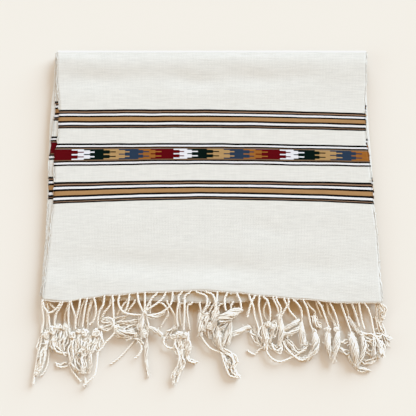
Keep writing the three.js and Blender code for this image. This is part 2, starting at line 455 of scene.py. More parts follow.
# The four hidden layers: one rounded body whose sides show a lip for each layer
core = {
    "layers": 4,
    "groove": 1.1,
    "corner": 1.2,  # how far each corner draws in, over the last part of the side and of the end
    "cornerFrom": 0.93,
    "lipSteps": 6,
    "sideSteps": 60,
    "endSteps": 60,
    "caps": [0.985, 0.94, 0.84, 0.66, 0.42, 0.18],  # the rings that close the top and the bottom
    "weaveFrom": 300,  # past the last stripe, so the hidden layers are plain
    "weavePerLayer": 40,
}
coreHeights = table(
    "along floor top",
    (3.3, 0, 7.6), (5.5, 0, 7.9), (14, 0, 7.95), (26, 0, 7.45), (60, 0, 7.1), (105, 0, 6.8), (150, 0, 6.45),
    (190, 0, 6.15), (225, 0, 5.85), (240, 0, 5.75), (248, 0, 5.55),
)
layerSteps = table("left right", (1.5, 2), (3, 1), (2, 3), (0.6, 1))  # from the surface up
coreEnds = table(  # where the far and the near end lie, at each share of the height
    "share far near",
    (0, 3.4, 240), (0.08, 2.6, 244.5), (0.2, 1.7, 246.6), (0.36, 1.4, 247.4), (0.52, 2.2, 247.3),
    (0.62, 3.3, 246.9), (0.8, 3.7, 245.4), (0.93, 4.4, 243.5), (1, 5.8, 240),
)


def makeCore():
    points, faces, weave = [], [], []
    shares = []
    for layer in range(core["layers"]):
        for step in range(core["lipSteps"]):
            shares.append((layer + step / core["lipSteps"]) / core["layers"])
    shares.append(1.0)
    levels = [(0.0, scale) for scale in reversed(core["caps"])] + [(share, 1.0) for share in shares]
    levels += [(1.0, scale) for scale in core["caps"]]
    ringSize = 2 * (core["sideSteps"] + core["endSteps"])
    for share, scale in levels:
        within = share * core["layers"] % 1 if share < 1 else 1.0
        bulge = math.sqrt(max(0.0, 1 - (2 * within - 1) ** 2))
        layer = min(int(share * core["layers"]), core["layers"] - 1)
        far, near = read(coreEnds, "share", share, "far"), read(coreEnds, "share", share, "near")
        for i in range(ringSize):
            if i < core["endSteps"]:  # near end, left to right
                u, v = i / core["endSteps"], 1.0
            elif i < core["endSteps"] + core["sideSteps"]:
                u, v = 1.0, 1 - (i - core["endSteps"]) / core["sideSteps"]
            elif i < 2 * core["endSteps"] + core["sideSteps"]:
                u, v = 1 - (i - core["endSteps"] - core["sideSteps"]) / core["endSteps"], 0.0
            else:
                u, v = 0.0, (i - 2 * core["endSteps"] - core["sideSteps"]) / core["sideSteps"]
            u, v = 0.5 + (u - 0.5) * scale, 0.5 + (v - 0.5) * scale
            along = mix(far, near, v)
            sink = core["groove"] * (1 - bulge)
            left = read(sideEdges, "along", along, "coreLeft") + layerSteps[layer]["left"] + sink
            right = read(sideEdges, "along", along, "coreRight") - layerSteps[layer]["right"] - sink
            across = mix(left, right, u)
            cornerPull = core["corner"] * (1 if v < 0.5 else -1)
            for spot in (u, v):
                cornerPull *= max(0, abs(2 * spot - 1) - core["cornerFrom"]) / (1 - core["cornerFrom"])
            along += cornerPull
            floorHeight = read(coreHeights, "along", along, "floor")
            topHeight = read(coreHeights, "along", along, "top") + softFoldHeight(across, along)
            points.append(place(across, along, mix(floorHeight, topHeight, share)))
            plain = along + core["weavePerLayer"] * layer + core["weaveFrom"]
            weave.append((across * mm, plain * mm))
    rings = len(levels)
    for r in range(rings - 1):
        for i in range(ringSize):
            j = (i + 1) % ringSize
            faces.append((r * ringSize + i, r * ringSize + j, (r + 1) * ringSize + j, (r + 1) * ringSize + i))
    middles = (points[0] + points[ringSize // 2]) / 2, (points[-1] + points[-1 - ringSize // 2]) / 2
    points += middles
    weave += [(0.0, core["weaveFrom"] * mm)] * 2
    bottom, top = len(points) - 2, len(points) - 1
    for i in range(ringSize):
        j = (i + 1) % ringSize
        faces.append((j, i, bottom))
        faces.append(((rings - 1) * ringSize + i, (rings - 1) * ringSize + j, top))
    return makeMesh("foldedCoreCloth", points, faces, weave)


coreCloth = makeCore()
print("the hidden layers are made")


# The wool, woven by hand

weaveSizes = {
    "thread": 1.5,  # the real yarn is about 0.7 mm: drawn twice as coarse so that it shows
    "weft": 1.3,
    "notch": 0.45,  # how far a warp thread bites into the edge of a stripe, for each mm off its middle
    "wander": 1.2,
    "threadRelief": 0.22,
    "ground": "#efeee7",
    # painted shade between the threads, also the darker end of the fibres' uneven tone
    "paintedThreadShadeAndFibreTone": "#deddd4",
}
stripeYarn = {
    "black": "#0f0b09",
    "brown": "#94765f",
    "white": "#f2f2f5",
    "tan": "#a67f55",
    "umber": "#6d5742",
    "flame": "#808080",  # the flame band's own colours cover it
}
flameYarn = [  # one repeat of the flame band, and how wide each yarn runs, in mm
    ("#560209", 22.0),  # crimson
    ("#e9ebf2", 12.5),  # white
    ("#01110c", 20.0),  # bottle green
    ("#aa885a", 15.0),  # sand
    ("#263549", 18.5),  # slate
    ("#935c26", 12.0),  # ochre
]
flame = {
    "firstWhite": -133,
    "repeats": 3,
    "widening": 0.967,  # the weaver's repeats grow a little to the right
    "rows": 9,
    "finger": 5.6,  # how far a finger of one yarn reaches into the next
    "step": 1.5,
}
tanStripes = [  # the tan band and its borders in turn, in mm
    ("black", 2.0), ("brown", 1.0), ("black", 1.5), ("white", 1.75), ("black", 1.75), ("tan", 3.75),
    ("black", 2.0), ("white", 2.0), ("black", 1.75), ("brown", 0.5), ("black", 1.75),
]
flameStripes = [
    ("black", 2.0), ("white", 1.5), ("black", 1.25), ("umber", 1.0), ("flame", 10.0), ("umber", 1.25),
    ("black", 1.5), ("white", 1.75), ("black", 2.0),
]
stripeGroups = [  # where each group starts along the cloth
    {"start": 62.25, "stripes": tanStripes},
    {"start": 97.0, "stripes": flameStripes},
    {"start": 134.75, "stripes": tanStripes},
]


rampLead = 0.01  # the share of a ramp that lies before its first stripe


# A colour ramp with hard steps, one for each stripe, and the ground yarn (alpha 0) on both sides.
def fillStripeRamp(ramp, stripes, length):
    ground = [0, 0, 0, 0]
    ramp.interpolation = "CONSTANT"
    ramp.elements.remove(ramp.elements[1])
    ramp.elements[0].color = ground
    where = rampLead
    for yarn, width in stripes:
        ramp.elements.new(where).color = hexColour(stripeYarn[yarn])
        where += width / length
    ramp.elements.new(1).color = ground


def makeHandwovenWool(name, acrossShift=0, alongShift=0, alongStretch=1):
    # Plain-woven, lightly milled sheep's wool: matte, with a thread grain and a soft nap.
    # The stripes are weft-faced, so they show ribs from side to side and cover the warp.
    material, tree = newMaterial(name)
    weave = addNode(tree, "ShaderNodeUVMap", uv_map="weave")
    inMm = addNode(tree, "ShaderNodeMapping", {
        "Vector": weave,
        "Location": (acrossShift, alongShift, 0),
        "Scale": (1 / mm, alongStretch / mm, 1 / mm),
    })
    parts = addNode(tree, "ShaderNodeSeparateXYZ", {0: inMm})
    across, along = parts.outputs[0], parts.outputs[1]

    # Yarns wander a little, and each warp thread notches the edge of a stripe
    drift = addNode(tree, "ShaderNodeTexNoise", {"Vector": inMm, "Scale": 0.03, "Detail": 1.0})
    driftBy = addNode(tree, "ShaderNodeMath", {0: drift, 1: 0.5}, operation="SUBTRACT")
    notch = addNode(tree, "ShaderNodeMath", {0: across, 1: weaveSizes["thread"] / 2}, operation="PINGPONG")
    notched = addNode(tree, "ShaderNodeMath", {
        0: notch, 1: weaveSizes["notch"], 2: along}, operation="MULTIPLY_ADD")
    wandered = addNode(tree, "ShaderNodeMath", {
        0: driftBy, 1: weaveSizes["wander"], 2: notched}, operation="MULTIPLY_ADD")

    # Thread grain: warp over and weft over by turns
    threadAcross = addNode(tree, "ShaderNodeMath", {0: across, 1: weaveSizes["thread"]}, operation="DIVIDE")
    threadAlong = addNode(tree, "ShaderNodeMath", {0: along, 1: weaveSizes["weft"]}, operation="DIVIDE")
    warpRidge = addNode(tree, "ShaderNodeMath", {0: threadAcross, 1: 0.5}, operation="PINGPONG")
    weftRidge = addNode(tree, "ShaderNodeMath", {0: threadAlong, 1: 0.5}, operation="PINGPONG")
    warpCount = addNode(tree, "ShaderNodeMath", {0: threadAcross}, operation="FLOOR")
    weftCount = addNode(tree, "ShaderNodeMath", {0: threadAlong}, operation="FLOOR")
    counts = addNode(tree, "ShaderNodeMath", {0: warpCount, 1: weftCount}, operation="ADD")
    turnAbout = addNode(tree, "ShaderNodeMath", {0: counts, 1: 1.0}, operation="PINGPONG")
    grain = addNode(tree, "ShaderNodeMix", {0: turnAbout, 2: warpRidge, 3: weftRidge}, data_type="FLOAT")

    # Slubs: thicker places in the handspun yarn, drawn out along the thread
    weftWay = addNode(tree, "ShaderNodeMapping", {"Vector": inMm, "Scale": (0.07, 0.75, 1)})
    weftSlub = addNode(tree, "ShaderNodeTexNoise", {"Vector": weftWay, "Scale": 1.0, "Detail": 2.0})
    warpWay = addNode(tree, "ShaderNodeMapping", {"Vector": inMm, "Scale": (0.65, 0.05, 1)})
    warpSlub = addNode(tree, "ShaderNodeTexNoise", {"Vector": warpWay, "Scale": 1.0, "Detail": 2.0})
    slubs = addNode(tree, "ShaderNodeMath", {0: warpSlub, 1: 0.35, 2: weftSlub}, operation="MULTIPLY_ADD")
    fibre = addNode(tree, "ShaderNodeTexNoise", {
        "Vector": inMm, "Scale": 1.6, "Detail": 3.0, "Roughness": 0.7})

    # Ground colour: painted shade between the threads, and a little uneven from yarn to yarn
    shade = addNode(tree, "ShaderNodeMapRange", {0: grain, 1: 0.0, 2: 0.35, 3: 0.0, 4: 1.0})
    fibreShade = addNode(tree, "ShaderNodeMapRange", {0: fibre, 1: 0.35, 2: 0.6, 3: 0.0, 4: 1.0})
    lit = addNode(tree, "ShaderNodeMath", {0: shade, 1: fibreShade}, operation="ADD")
    litHalf = addNode(tree, "ShaderNodeMath", {0: lit, 1: 0.5}, operation="MULTIPLY")
    colour = addNode(tree, "ShaderNodeMix", {
        0: litHalf,
        6: hexColour(weaveSizes["paintedThreadShadeAndFibreTone"]),
        7: hexColour(weaveSizes["ground"]),
    }, data_type="RGBA").outputs[2]
    slubShade = addNode(tree, "ShaderNodeMapRange", {0: slubs, 1: 0.45, 2: 0.9, 3: 0.91, 4: 1.05})

    # The flame band: six yarns in turn, each pair of neighbours locked by stepped fingers
    before = [yarn for yarn, width in flameStripes].index("flame")
    flameStart = stripeGroups[1]["start"] + sum(width for yarn, width in flameStripes[:before])
    flameEnd = flameStart + flameStripes[before][1]
    share = addNode(tree, "ShaderNodeMapRange", {
        0: along, 1: flameStart, 2: flameEnd, 3: 0.0, 4: flame["rows"] - 0.001})
    row = addNode(tree, "ShaderNodeMath", {0: share}, operation="FLOOR")
    halfRows = addNode(tree, "ShaderNodeMath", {0: row, 1: 0.5}, operation="MULTIPLY")
    zigzag = addNode(tree, "ShaderNodeMath", {0: halfRows, 1: 1.0}, operation="PINGPONG")
    finger = addNode(tree, "ShaderNodeMath", {
        0: zigzag, 1: -2 * flame["finger"], 2: flame["finger"]}, operation="MULTIPLY_ADD")
    stepped = addNode(tree, "ShaderNodeMath", {0: across, 1: flame["step"]}, operation="SNAP")
    shifted = addNode(tree, "ShaderNodeMath", {0: stepped, 1: finger}, operation="ADD")
    # The first crimson comes in from the left selvedge and the last ochre goes out to the right one
    repeat = sum(width for yarn, width in flameYarn)
    fromWhite = addNode(tree, "ShaderNodeMath", {0: shifted, 1: flame["firstWhite"]}, operation="SUBTRACT")
    pastCrimson = addNode(tree, "ShaderNodeMath", {0: fromWhite, 1: 0.0}, operation="GREATER_THAN")
    repeats = addNode(tree, "ShaderNodeMath", {0: fromWhite, 1: repeat}, operation="DIVIDE")
    widened = addNode(tree, "ShaderNodeMath", {0: repeats, 1: flame["widening"]}, operation="POWER")
    fromCrimson = addNode(tree, "ShaderNodeMath", {0: widened, 1: flameYarn[0][1] / repeat}, operation="ADD")
    toLast = addNode(tree, "ShaderNodeMath", {
        0: fromCrimson, 1: flame["repeats"] - 0.001}, operation="MINIMUM")
    inRepeat = addNode(tree, "ShaderNodeMath", {0: toLast}, operation="FRACT")
    whichYarn = addNode(tree, "ShaderNodeMath", {0: inRepeat, 1: pastCrimson}, operation="MULTIPLY")
    flameRamp = addNode(tree, "ShaderNodeValToRGB", {0: whichYarn})
    flameRamp.color_ramp.interpolation = "CONSTANT"
    elements = flameRamp.color_ramp.elements
    where = 0.0
    for i, (yarn, width) in enumerate(flameYarn):
        element = elements[i] if i < 2 else elements.new(where)
        element.position = where
        element.color = hexColour(yarn)
        where += width / repeat
    inFlameFrom = addNode(tree, "ShaderNodeMath", {0: along, 1: flameStart}, operation="GREATER_THAN")
    inFlameTo = addNode(tree, "ShaderNodeMath", {0: along, 1: flameEnd}, operation="LESS_THAN")
    inFlame = addNode(tree, "ShaderNodeMath", {0: inFlameFrom, 1: inFlameTo}, operation="MULTIPLY")

    # Stripes over the ground
    striped = None
    for group in stripeGroups:
        length = sum(width for yarn, width in group["stripes"])
        position = addNode(tree, "ShaderNodeMath", {
            0: wandered, 1: 1 / length, 2: rampLead - group["start"] / length}, operation="MULTIPLY_ADD")
        ramp = addNode(tree, "ShaderNodeValToRGB", {0: position})
        fillStripeRamp(ramp.color_ramp, group["stripes"], length)
        colour = addNode(tree, "ShaderNodeMix", {
            0: ramp.outputs[1], 6: colour, 7: ramp.outputs[0]}, data_type="RGBA").outputs[2]
        striped = ramp.outputs[1] if striped is None else addNode(
            tree, "ShaderNodeMath", {0: striped, 1: ramp.outputs[1]}, operation="MAXIMUM")
    colour = addNode(tree, "ShaderNodeMix", {
        0: inFlame, 6: colour, 7: flameRamp.outputs[0]}, data_type="RGBA").outputs[2]
    coloured = addNode(tree, "ShaderNodeHueSaturation", {"Color": colour, "Value": slubShade})

    # Relief: plain weave on the ground, ribs on the stripes, slubs and nap over both
    threads = addNode(tree, "ShaderNodeMix", {0: striped, 2: grain, 3: weftRidge}, data_type="FLOAT")
    relief = addNode(tree, "ShaderNodeMath", {0: slubs, 1: 0.5, 2: threads}, operation="MULTIPLY_ADD")
    nap = addNode(tree, "ShaderNodeMath", {0: fibre, 1: 0.6, 2: relief}, operation="MULTIPLY_ADD")
    bump = addNode(tree, "ShaderNodeBump", {
        "Height": nap, "Strength": 0.55, "Distance": weaveSizes["threadRelief"] * mm})
    shader = addNode(tree, "ShaderNodeBsdfPrincipled", {
        "Base Color": coloured,
        "Roughness": 0.92,
        "Specular IOR Level": 0.02,
        "Sheen Weight": 0.02,
        "Sheen Roughness": 0.6,
        "Normal": bump,
    })
    addNode(tree, "ShaderNodeOutputMaterial", {"Surface": shader})
    return material


topWool = makeHandwovenWool("handwovenWoolTopEnd")
otherWool = makeHandwovenWool("handwovenWoolOtherEnd", 12, 11.7, 0.955)  # no two ends are woven alike
topCloth.data.materials.append(topWool)
secondCloth.data.materials.append(otherWool)
coreCloth.data.materials.append(otherWool)
print("the wool is woven")


# The yarn's own off-white tints, and a painted brown shade for its crevices
yarnColours = {"dark": "#f6f0e4", "light": "#fffcf2", "paintedCreviceShade": "#ac854c"}


def makeFringeYarn():
    # The same wool as the warp, two plies twisted by hand: off-white, matte and a little hairy
    material, tree = newMaterial("twistedWoolYarn")
    where = addNode(tree, "ShaderNodeTexCoord")
    uneven = addNode(tree, "ShaderNodeTexNoise", {
        "Vector": where.outputs["Object"], "Scale": 160.0, "Detail": 2.0})
    hair = addNode(tree, "ShaderNodeTexNoise", {
        "Vector": where.outputs["Object"], "Scale": 1800.0, "Detail": 2.0, "Roughness": 0.7})
    tint = addNode(tree, "ShaderNodeMix", {
        0: uneven, 6: hexColour(yarnColours["dark"]), 7: hexColour(yarnColours["light"])}, data_type="RGBA")
    # Painted shade: between the strands, where ambient occlusion finds the yarn hemmed in, it is painted
    # brown
    between = addNode(tree, "ShaderNodeAmbientOcclusion", {"Distance": 3 * mm}, samples=6)
    openness = addNode(tree, "ShaderNodeMapRange", {
        0: between.outputs["AO"], 1: 0.1, 2: 0.75, 3: 0.0, 4: 1.0})
    wool = addNode(tree, "ShaderNodeMix", {
        0: openness, 6: hexColour(yarnColours["paintedCreviceShade"]), 7: tint.outputs[2]}, data_type="RGBA")
    bump = addNode(tree, "ShaderNodeBump", {"Height": hair, "Strength": 0.4, "Distance": 0.00015})
    shader = addNode(tree, "ShaderNodeBsdfPrincipled", {
        "Base Color": wool.outputs[2],
        "Roughness": 0.9,
        "Specular IOR Level": 0.25,
        "Sheen Weight": 0.5,
        "Sheen Roughness": 0.4,
        "Normal": bump,
    })
    addNode(tree, "ShaderNodeOutputMaterial", {"Surface": shader})
    return material


fringeYarn = makeFringeYarn()


# Yarn by Geometry Nodes: every route becomes a bundle of strands that wind round it

def makeStrandTree(name, material):
    tree = bpy.data.node_groups.new(name, "GeometryNodeTree")
    tree.interface.new_socket("Routes", in_out="INPUT", socket_type="NodeSocketGeometry")
    for socket, value in (
            ("Strand radius", 0.5 * mm), ("Step", 1 * mm), ("Twist length", 4.5 * mm), ("Wander", 0.0),
            ("Scatter", 0.0), ("Fluff per area", 0.0), ("Fluff length", 3 * mm)):
        tree.interface.new_socket(socket, in_out="INPUT", socket_type="NodeSocketFloat").default_value = value
    for socket, value in (("Sides", 6), ("Seed", 1)):
        tree.interface.new_socket(socket, in_out="INPUT", socket_type="NodeSocketInt").default_value = value
    tree.interface.new_socket("Yarn", in_out="OUTPUT", socket_type="NodeSocketGeometry")
    given = addNode(tree, "NodeGroupInput")

    lines = addNode(tree, "GeometryNodeMeshToCurve", {"Mesh": given.outputs["Routes"]})
    smooth = addNode(tree, "GeometryNodeCurveSplineType", {"Curve": lines}, spline_type="CATMULL_ROM")
    fine = addNode(tree, "GeometryNodeSetSplineResolution", {"Geometry": smooth, "Resolution": 8})
    even = addNode(tree, "GeometryNodeResampleCurve", {
        "Curve": fine, "Length": given.outputs["Step"]}, mode="LENGTH")
    spread = addNode(tree, "GeometryNodeInputNamedAttribute", {"Name": "spread"}, data_type="FLOAT")
    strands = addNode(tree, "GeometryNodeInputNamedAttribute", {"Name": "strands"}, data_type="FLOAT")
    number = addNode(tree, "ShaderNodeMath", {0: strands.outputs[0], 1: 0.5}, operation="ADD")
    copies = addNode(tree, "GeometryNodeDuplicateElements", {
        "Geometry": even, "Amount": number}, domain="SPLINE")
    numbered = addNode(tree, "GeometryNodeCaptureAttribute", {"Geometry": copies.outputs[0]}, domain="CURVE")
    numbered.capture_items.new("FLOAT", "Ring place")
    numbered.capture_items.new("FLOAT", "Depth")
    numbered.capture_items.new("VECTOR", "Own place")
    ringShare = addNode(tree, "ShaderNodeMath", {
        0: copies.outputs[1], 1: strands.outputs[0]}, operation="DIVIDE")
    ringJitter = addNode(tree, "FunctionNodeRandomValue", {
        2: -0.5, 3: 0.5, "Seed": given.outputs["Seed"]}, data_type="FLOAT")
    jitter = addNode(tree, "ShaderNodeMath", {
        0: ringJitter.outputs[1], 1: given.outputs["Scatter"]}, operation="MULTIPLY")
    ringPlace = addNode(tree, "ShaderNodeMath", {0: ringShare, 1: jitter}, operation="ADD")
    tree.links.new(ringPlace.outputs[0], numbered.inputs["Ring place"])
    deep = addNode(tree, "FunctionNodeRandomValue", {
        2: 0.1, 3: 1.0, "ID": copies.outputs[1], "Seed": given.outputs["Seed"]}, data_type="FLOAT")
    rooted = addNode(tree, "ShaderNodeMath", {0: deep.outputs[1]}, operation="SQRT")
    depth = addNode(tree, "ShaderNodeMix", {
        0: given.outputs["Scatter"], 2: 1.0, 3: rooted}, data_type="FLOAT")
    tree.links.new(depth.outputs[0], numbered.inputs["Depth"])
    ownPlace = addNode(tree, "FunctionNodeRandomValue", {
        0: (-9, -9, -9), 1: (9, 9, 9), "Seed": given.outputs["Seed"]}, data_type="FLOAT_VECTOR")
    tree.links.new(ownPlace.outputs[0], numbered.inputs["Own place"])

    # Each strand winds round its route at its own place in the bundle
    spline = addNode(tree, "GeometryNodeSplineParameter")
    turns = addNode(tree, "ShaderNodeMath", {
        0: spline.outputs["Length"], 1: given.outputs["Twist length"]}, operation="DIVIDE")
    wound = addNode(tree, "ShaderNodeMath", {0: turns, 1: numbered.outputs["Ring place"]}, operation="ADD")
    angle = addNode(tree, "ShaderNodeMath", {0: wound, 1: 2 * math.pi}, operation="MULTIPLY")
    tangent = addNode(tree, "GeometryNodeInputTangent")
    normal = addNode(tree, "GeometryNodeInputNormal")
    around = addNode(tree, "ShaderNodeVectorRotate", {
        "Vector": normal, "Axis": tangent, "Angle": angle}, rotation_type="AXIS_ANGLE")
    reach = addNode(tree, "ShaderNodeMath", {
        0: spread.outputs[0], 1: numbered.outputs["Depth"]}, operation="MULTIPLY")
    offset = addNode(tree, "ShaderNodeVectorMath", {0: around, "Scale": reach}, operation="SCALE")

    # Loose strands also stray from the bundle
    position = addNode(tree, "GeometryNodeInputPosition")
    ownSpot = addNode(tree, "ShaderNodeVectorMath", {
        0: position, 1: (90, 90, 90), 2: numbered.outputs["Own place"]}, operation="MULTIPLY_ADD")
    stray = addNode(tree, "ShaderNodeTexNoise", {"Vector": ownSpot, "Scale": 1.0, "Detail": 1.0})
    strayCentred = addNode(tree, "ShaderNodeVectorMath", {
        0: stray.outputs[1], 1: (0.5, 0.5, 0.5)}, operation="SUBTRACT")
    strayBy = addNode(tree, "ShaderNodeMath", {
        0: spline.outputs["Factor"], 1: given.outputs["Wander"]}, operation="MULTIPLY")
    strayed = addNode(tree, "ShaderNodeVectorMath", {0: strayCentred, "Scale": strayBy}, operation="SCALE")
    moved = addNode(tree, "ShaderNodeVectorMath", {0: offset, 1: strayed}, operation="ADD")
    laid = addNode(tree, "GeometryNodeSetPosition", {"Geometry": numbered.outputs[0], "Offset": moved})

    profile = addNode(tree, "GeometryNodeCurvePrimitiveCircle", {
        "Resolution": given.outputs["Sides"], "Radius": given.outputs["Strand radius"]})
    tubes = addNode(tree, "GeometryNodeCurveToMesh", {
        "Curve": laid, "Profile Curve": profile, "Fill Caps": True})

    # Fluff: short bent hairs that stand off the strands at random
    hairLine = addNode(tree, "GeometryNodeCurveQuadraticBezier", {
        "Resolution": 3, "Start": (0, 0, 0), "Middle": (0.5, 0, 0.5), "End": (1, 0, 0.25)})
    hairSize = addNode(tree, "GeometryNodeTransform", {
        "Geometry": hairLine, "Scale": given.outputs["Fluff length"]})
    hairEdge = addNode(tree, "GeometryNodeCurvePrimitiveCircle", {"Resolution": 3, "Radius": 0.25 * mm})
    hair = addNode(tree, "GeometryNodeCurveToMesh", {
        "Curve": hairSize, "Profile Curve": hairEdge, "Fill Caps": True})
    roots = addNode(tree, "GeometryNodeDistributePointsOnFaces", {
        "Mesh": tubes, "Density": given.outputs["Fluff per area"], "Seed": given.outputs["Seed"]})
    spin = addNode(tree, "FunctionNodeRandomValue", {
        0: (-0.5, -0.5, 0),
        1: (0.5, 0.5, 2 * math.pi),
        "Seed": given.outputs["Seed"],
    }, data_type="FLOAT_VECTOR")
    turned = addNode(tree, "FunctionNodeRotateRotation", {
        "Rotation": roots.outputs["Rotation"], "Rotate By": spin}, rotation_space="LOCAL")
    grown = addNode(tree, "FunctionNodeRandomValue", {
        2: 0.5, 3: 1.3, "Seed": given.outputs["Seed"]}, data_type="FLOAT")
    hairs = addNode(tree, "GeometryNodeInstanceOnPoints", {
        "Points": roots, "Instance": hair, "Rotation": turned, "Scale": grown.outputs[1]})
    together = addNode(tree, "GeometryNodeJoinGeometry")
    tree.links.new(hairs.outputs[0], together.inputs[0])
    tree.links.new(tubes.outputs[0], together.inputs[0])
    realized = addNode(tree, "GeometryNodeRealizeInstances", {"Geometry": together})

    # Nothing goes through the surface the muffler lies on
    newPosition = addNode(tree, "GeometryNodeInputPosition")
    parts = addNode(tree, "ShaderNodeSeparateXYZ", {0: newPosition})
    above = addNode(tree, "ShaderNodeMath", {0: parts.outputs[2], 1: 0.1 * mm}, operation="MAXIMUM")
    held = addNode(tree, "ShaderNodeCombineXYZ", {0: parts.outputs[0], 1: parts.outputs[1], 2: above})
    onSurface = addNode(tree, "GeometryNodeSetPosition", {"Geometry": realized, "Position": held})
    shaded = addNode(tree, "GeometryNodeSetShadeSmooth", {"Geometry": onSurface})
    coloured = addNode(tree, "GeometryNodeSetMaterial", {"Geometry": shaded, "Material": material})
    addNode(tree, "NodeGroupOutput", {"Yarn": coloured})
    return tree


strandTree = makeStrandTree("windStrands", fringeYarn)


# Routes are polylines with two more values at each point: the bundle's radius and its strand count.
def makeYarn(name, routes, sizes):
    points, edges, spreads, counts = [], [], [], []
    for route in routes:
        first = len(points)
        for spot, spread in route["points"]:
            points.append(tuple(spot))
            spreads.append(spread * mm)
            counts.append(float(route["strands"]))
        edges += [(i, i + 1) for i in range(first, len(points) - 1)]
        if route.get("closed"):
            edges.append((len(points) - 1, first))
    mesh = bpy.data.meshes.new(name + "Routes")
    mesh.from_pydata(points, edges, [])
    mesh.attributes.new("spread", "FLOAT", "POINT").data.foreach_set("value", spreads)
    mesh.attributes.new("strands", "FLOAT", "POINT").data.foreach_set("value", counts)
    routesObject = bpy.data.objects.new(name + "Routes", mesh)
    bpy.context.scene.collection.objects.link(routesObject)
    modifier = routesObject.modifiers.new("windStrands", "NODES")
    modifier.node_group = strandTree
    sockets = {item.name: item.identifier for item in strandTree.interface.items_tree}
    for socket, value in sizes.items():
        modifier[sockets[socket]] = value
    evaluated = routesObject.evaluated_get(bpy.context.evaluated_depsgraph_get())
    made = bpy.data.meshes.new_from_object(evaluated)
    made.name = name
    made.materials.pop(index=0)  # the routes had no material of their own
    bpy.data.objects.remove(routesObject)
    piece = bpy.data.objects.new(name, made)
    bpy.context.scene.collection.objects.link(piece)
    print(name, "has", sum(len(face.vertices) - 2 for face in made.polygons), "triangles")
    return piece


# The fringes

fringe = {
    "zero": 249.5,  # "past" in the routes below is counted from here
    "landing": 28,
    "restTop": 4.0,
    "restSecond": 1.2,
    "rootSpread": 1.3,
    "rootInside": 0.8,  # each cord starts this far inside its hem,
    "rootSlant": 0.15,  # a little to the side it comes from,
    "rootOutside": 1.2,  # and is clear of the hem from here on
    "cordSpread": 0.52,
}
cordSizes = {"Strand radius": 0.62 * mm, "Step": 1.0 * mm, "Twist length": 6 * mm, "Sides": 6,
             "Fluff per area": 1.5e4, "Fluff length": 2 * mm}


def cordHeight(row, across, along, lift):
    layersDown = 0 if row == "top" else 1
    hem = read(hems, "across", across, "second")
    fall = smoothStep((along - hem) / fringe["landing"])
    start = runHeight(across, 250) - layersDown * cloth["layerPitch"]
    rest = fringe["restTop"] if row == "top" else fringe["restSecond"]
    return mix(start, rest, fall) + lift * fall


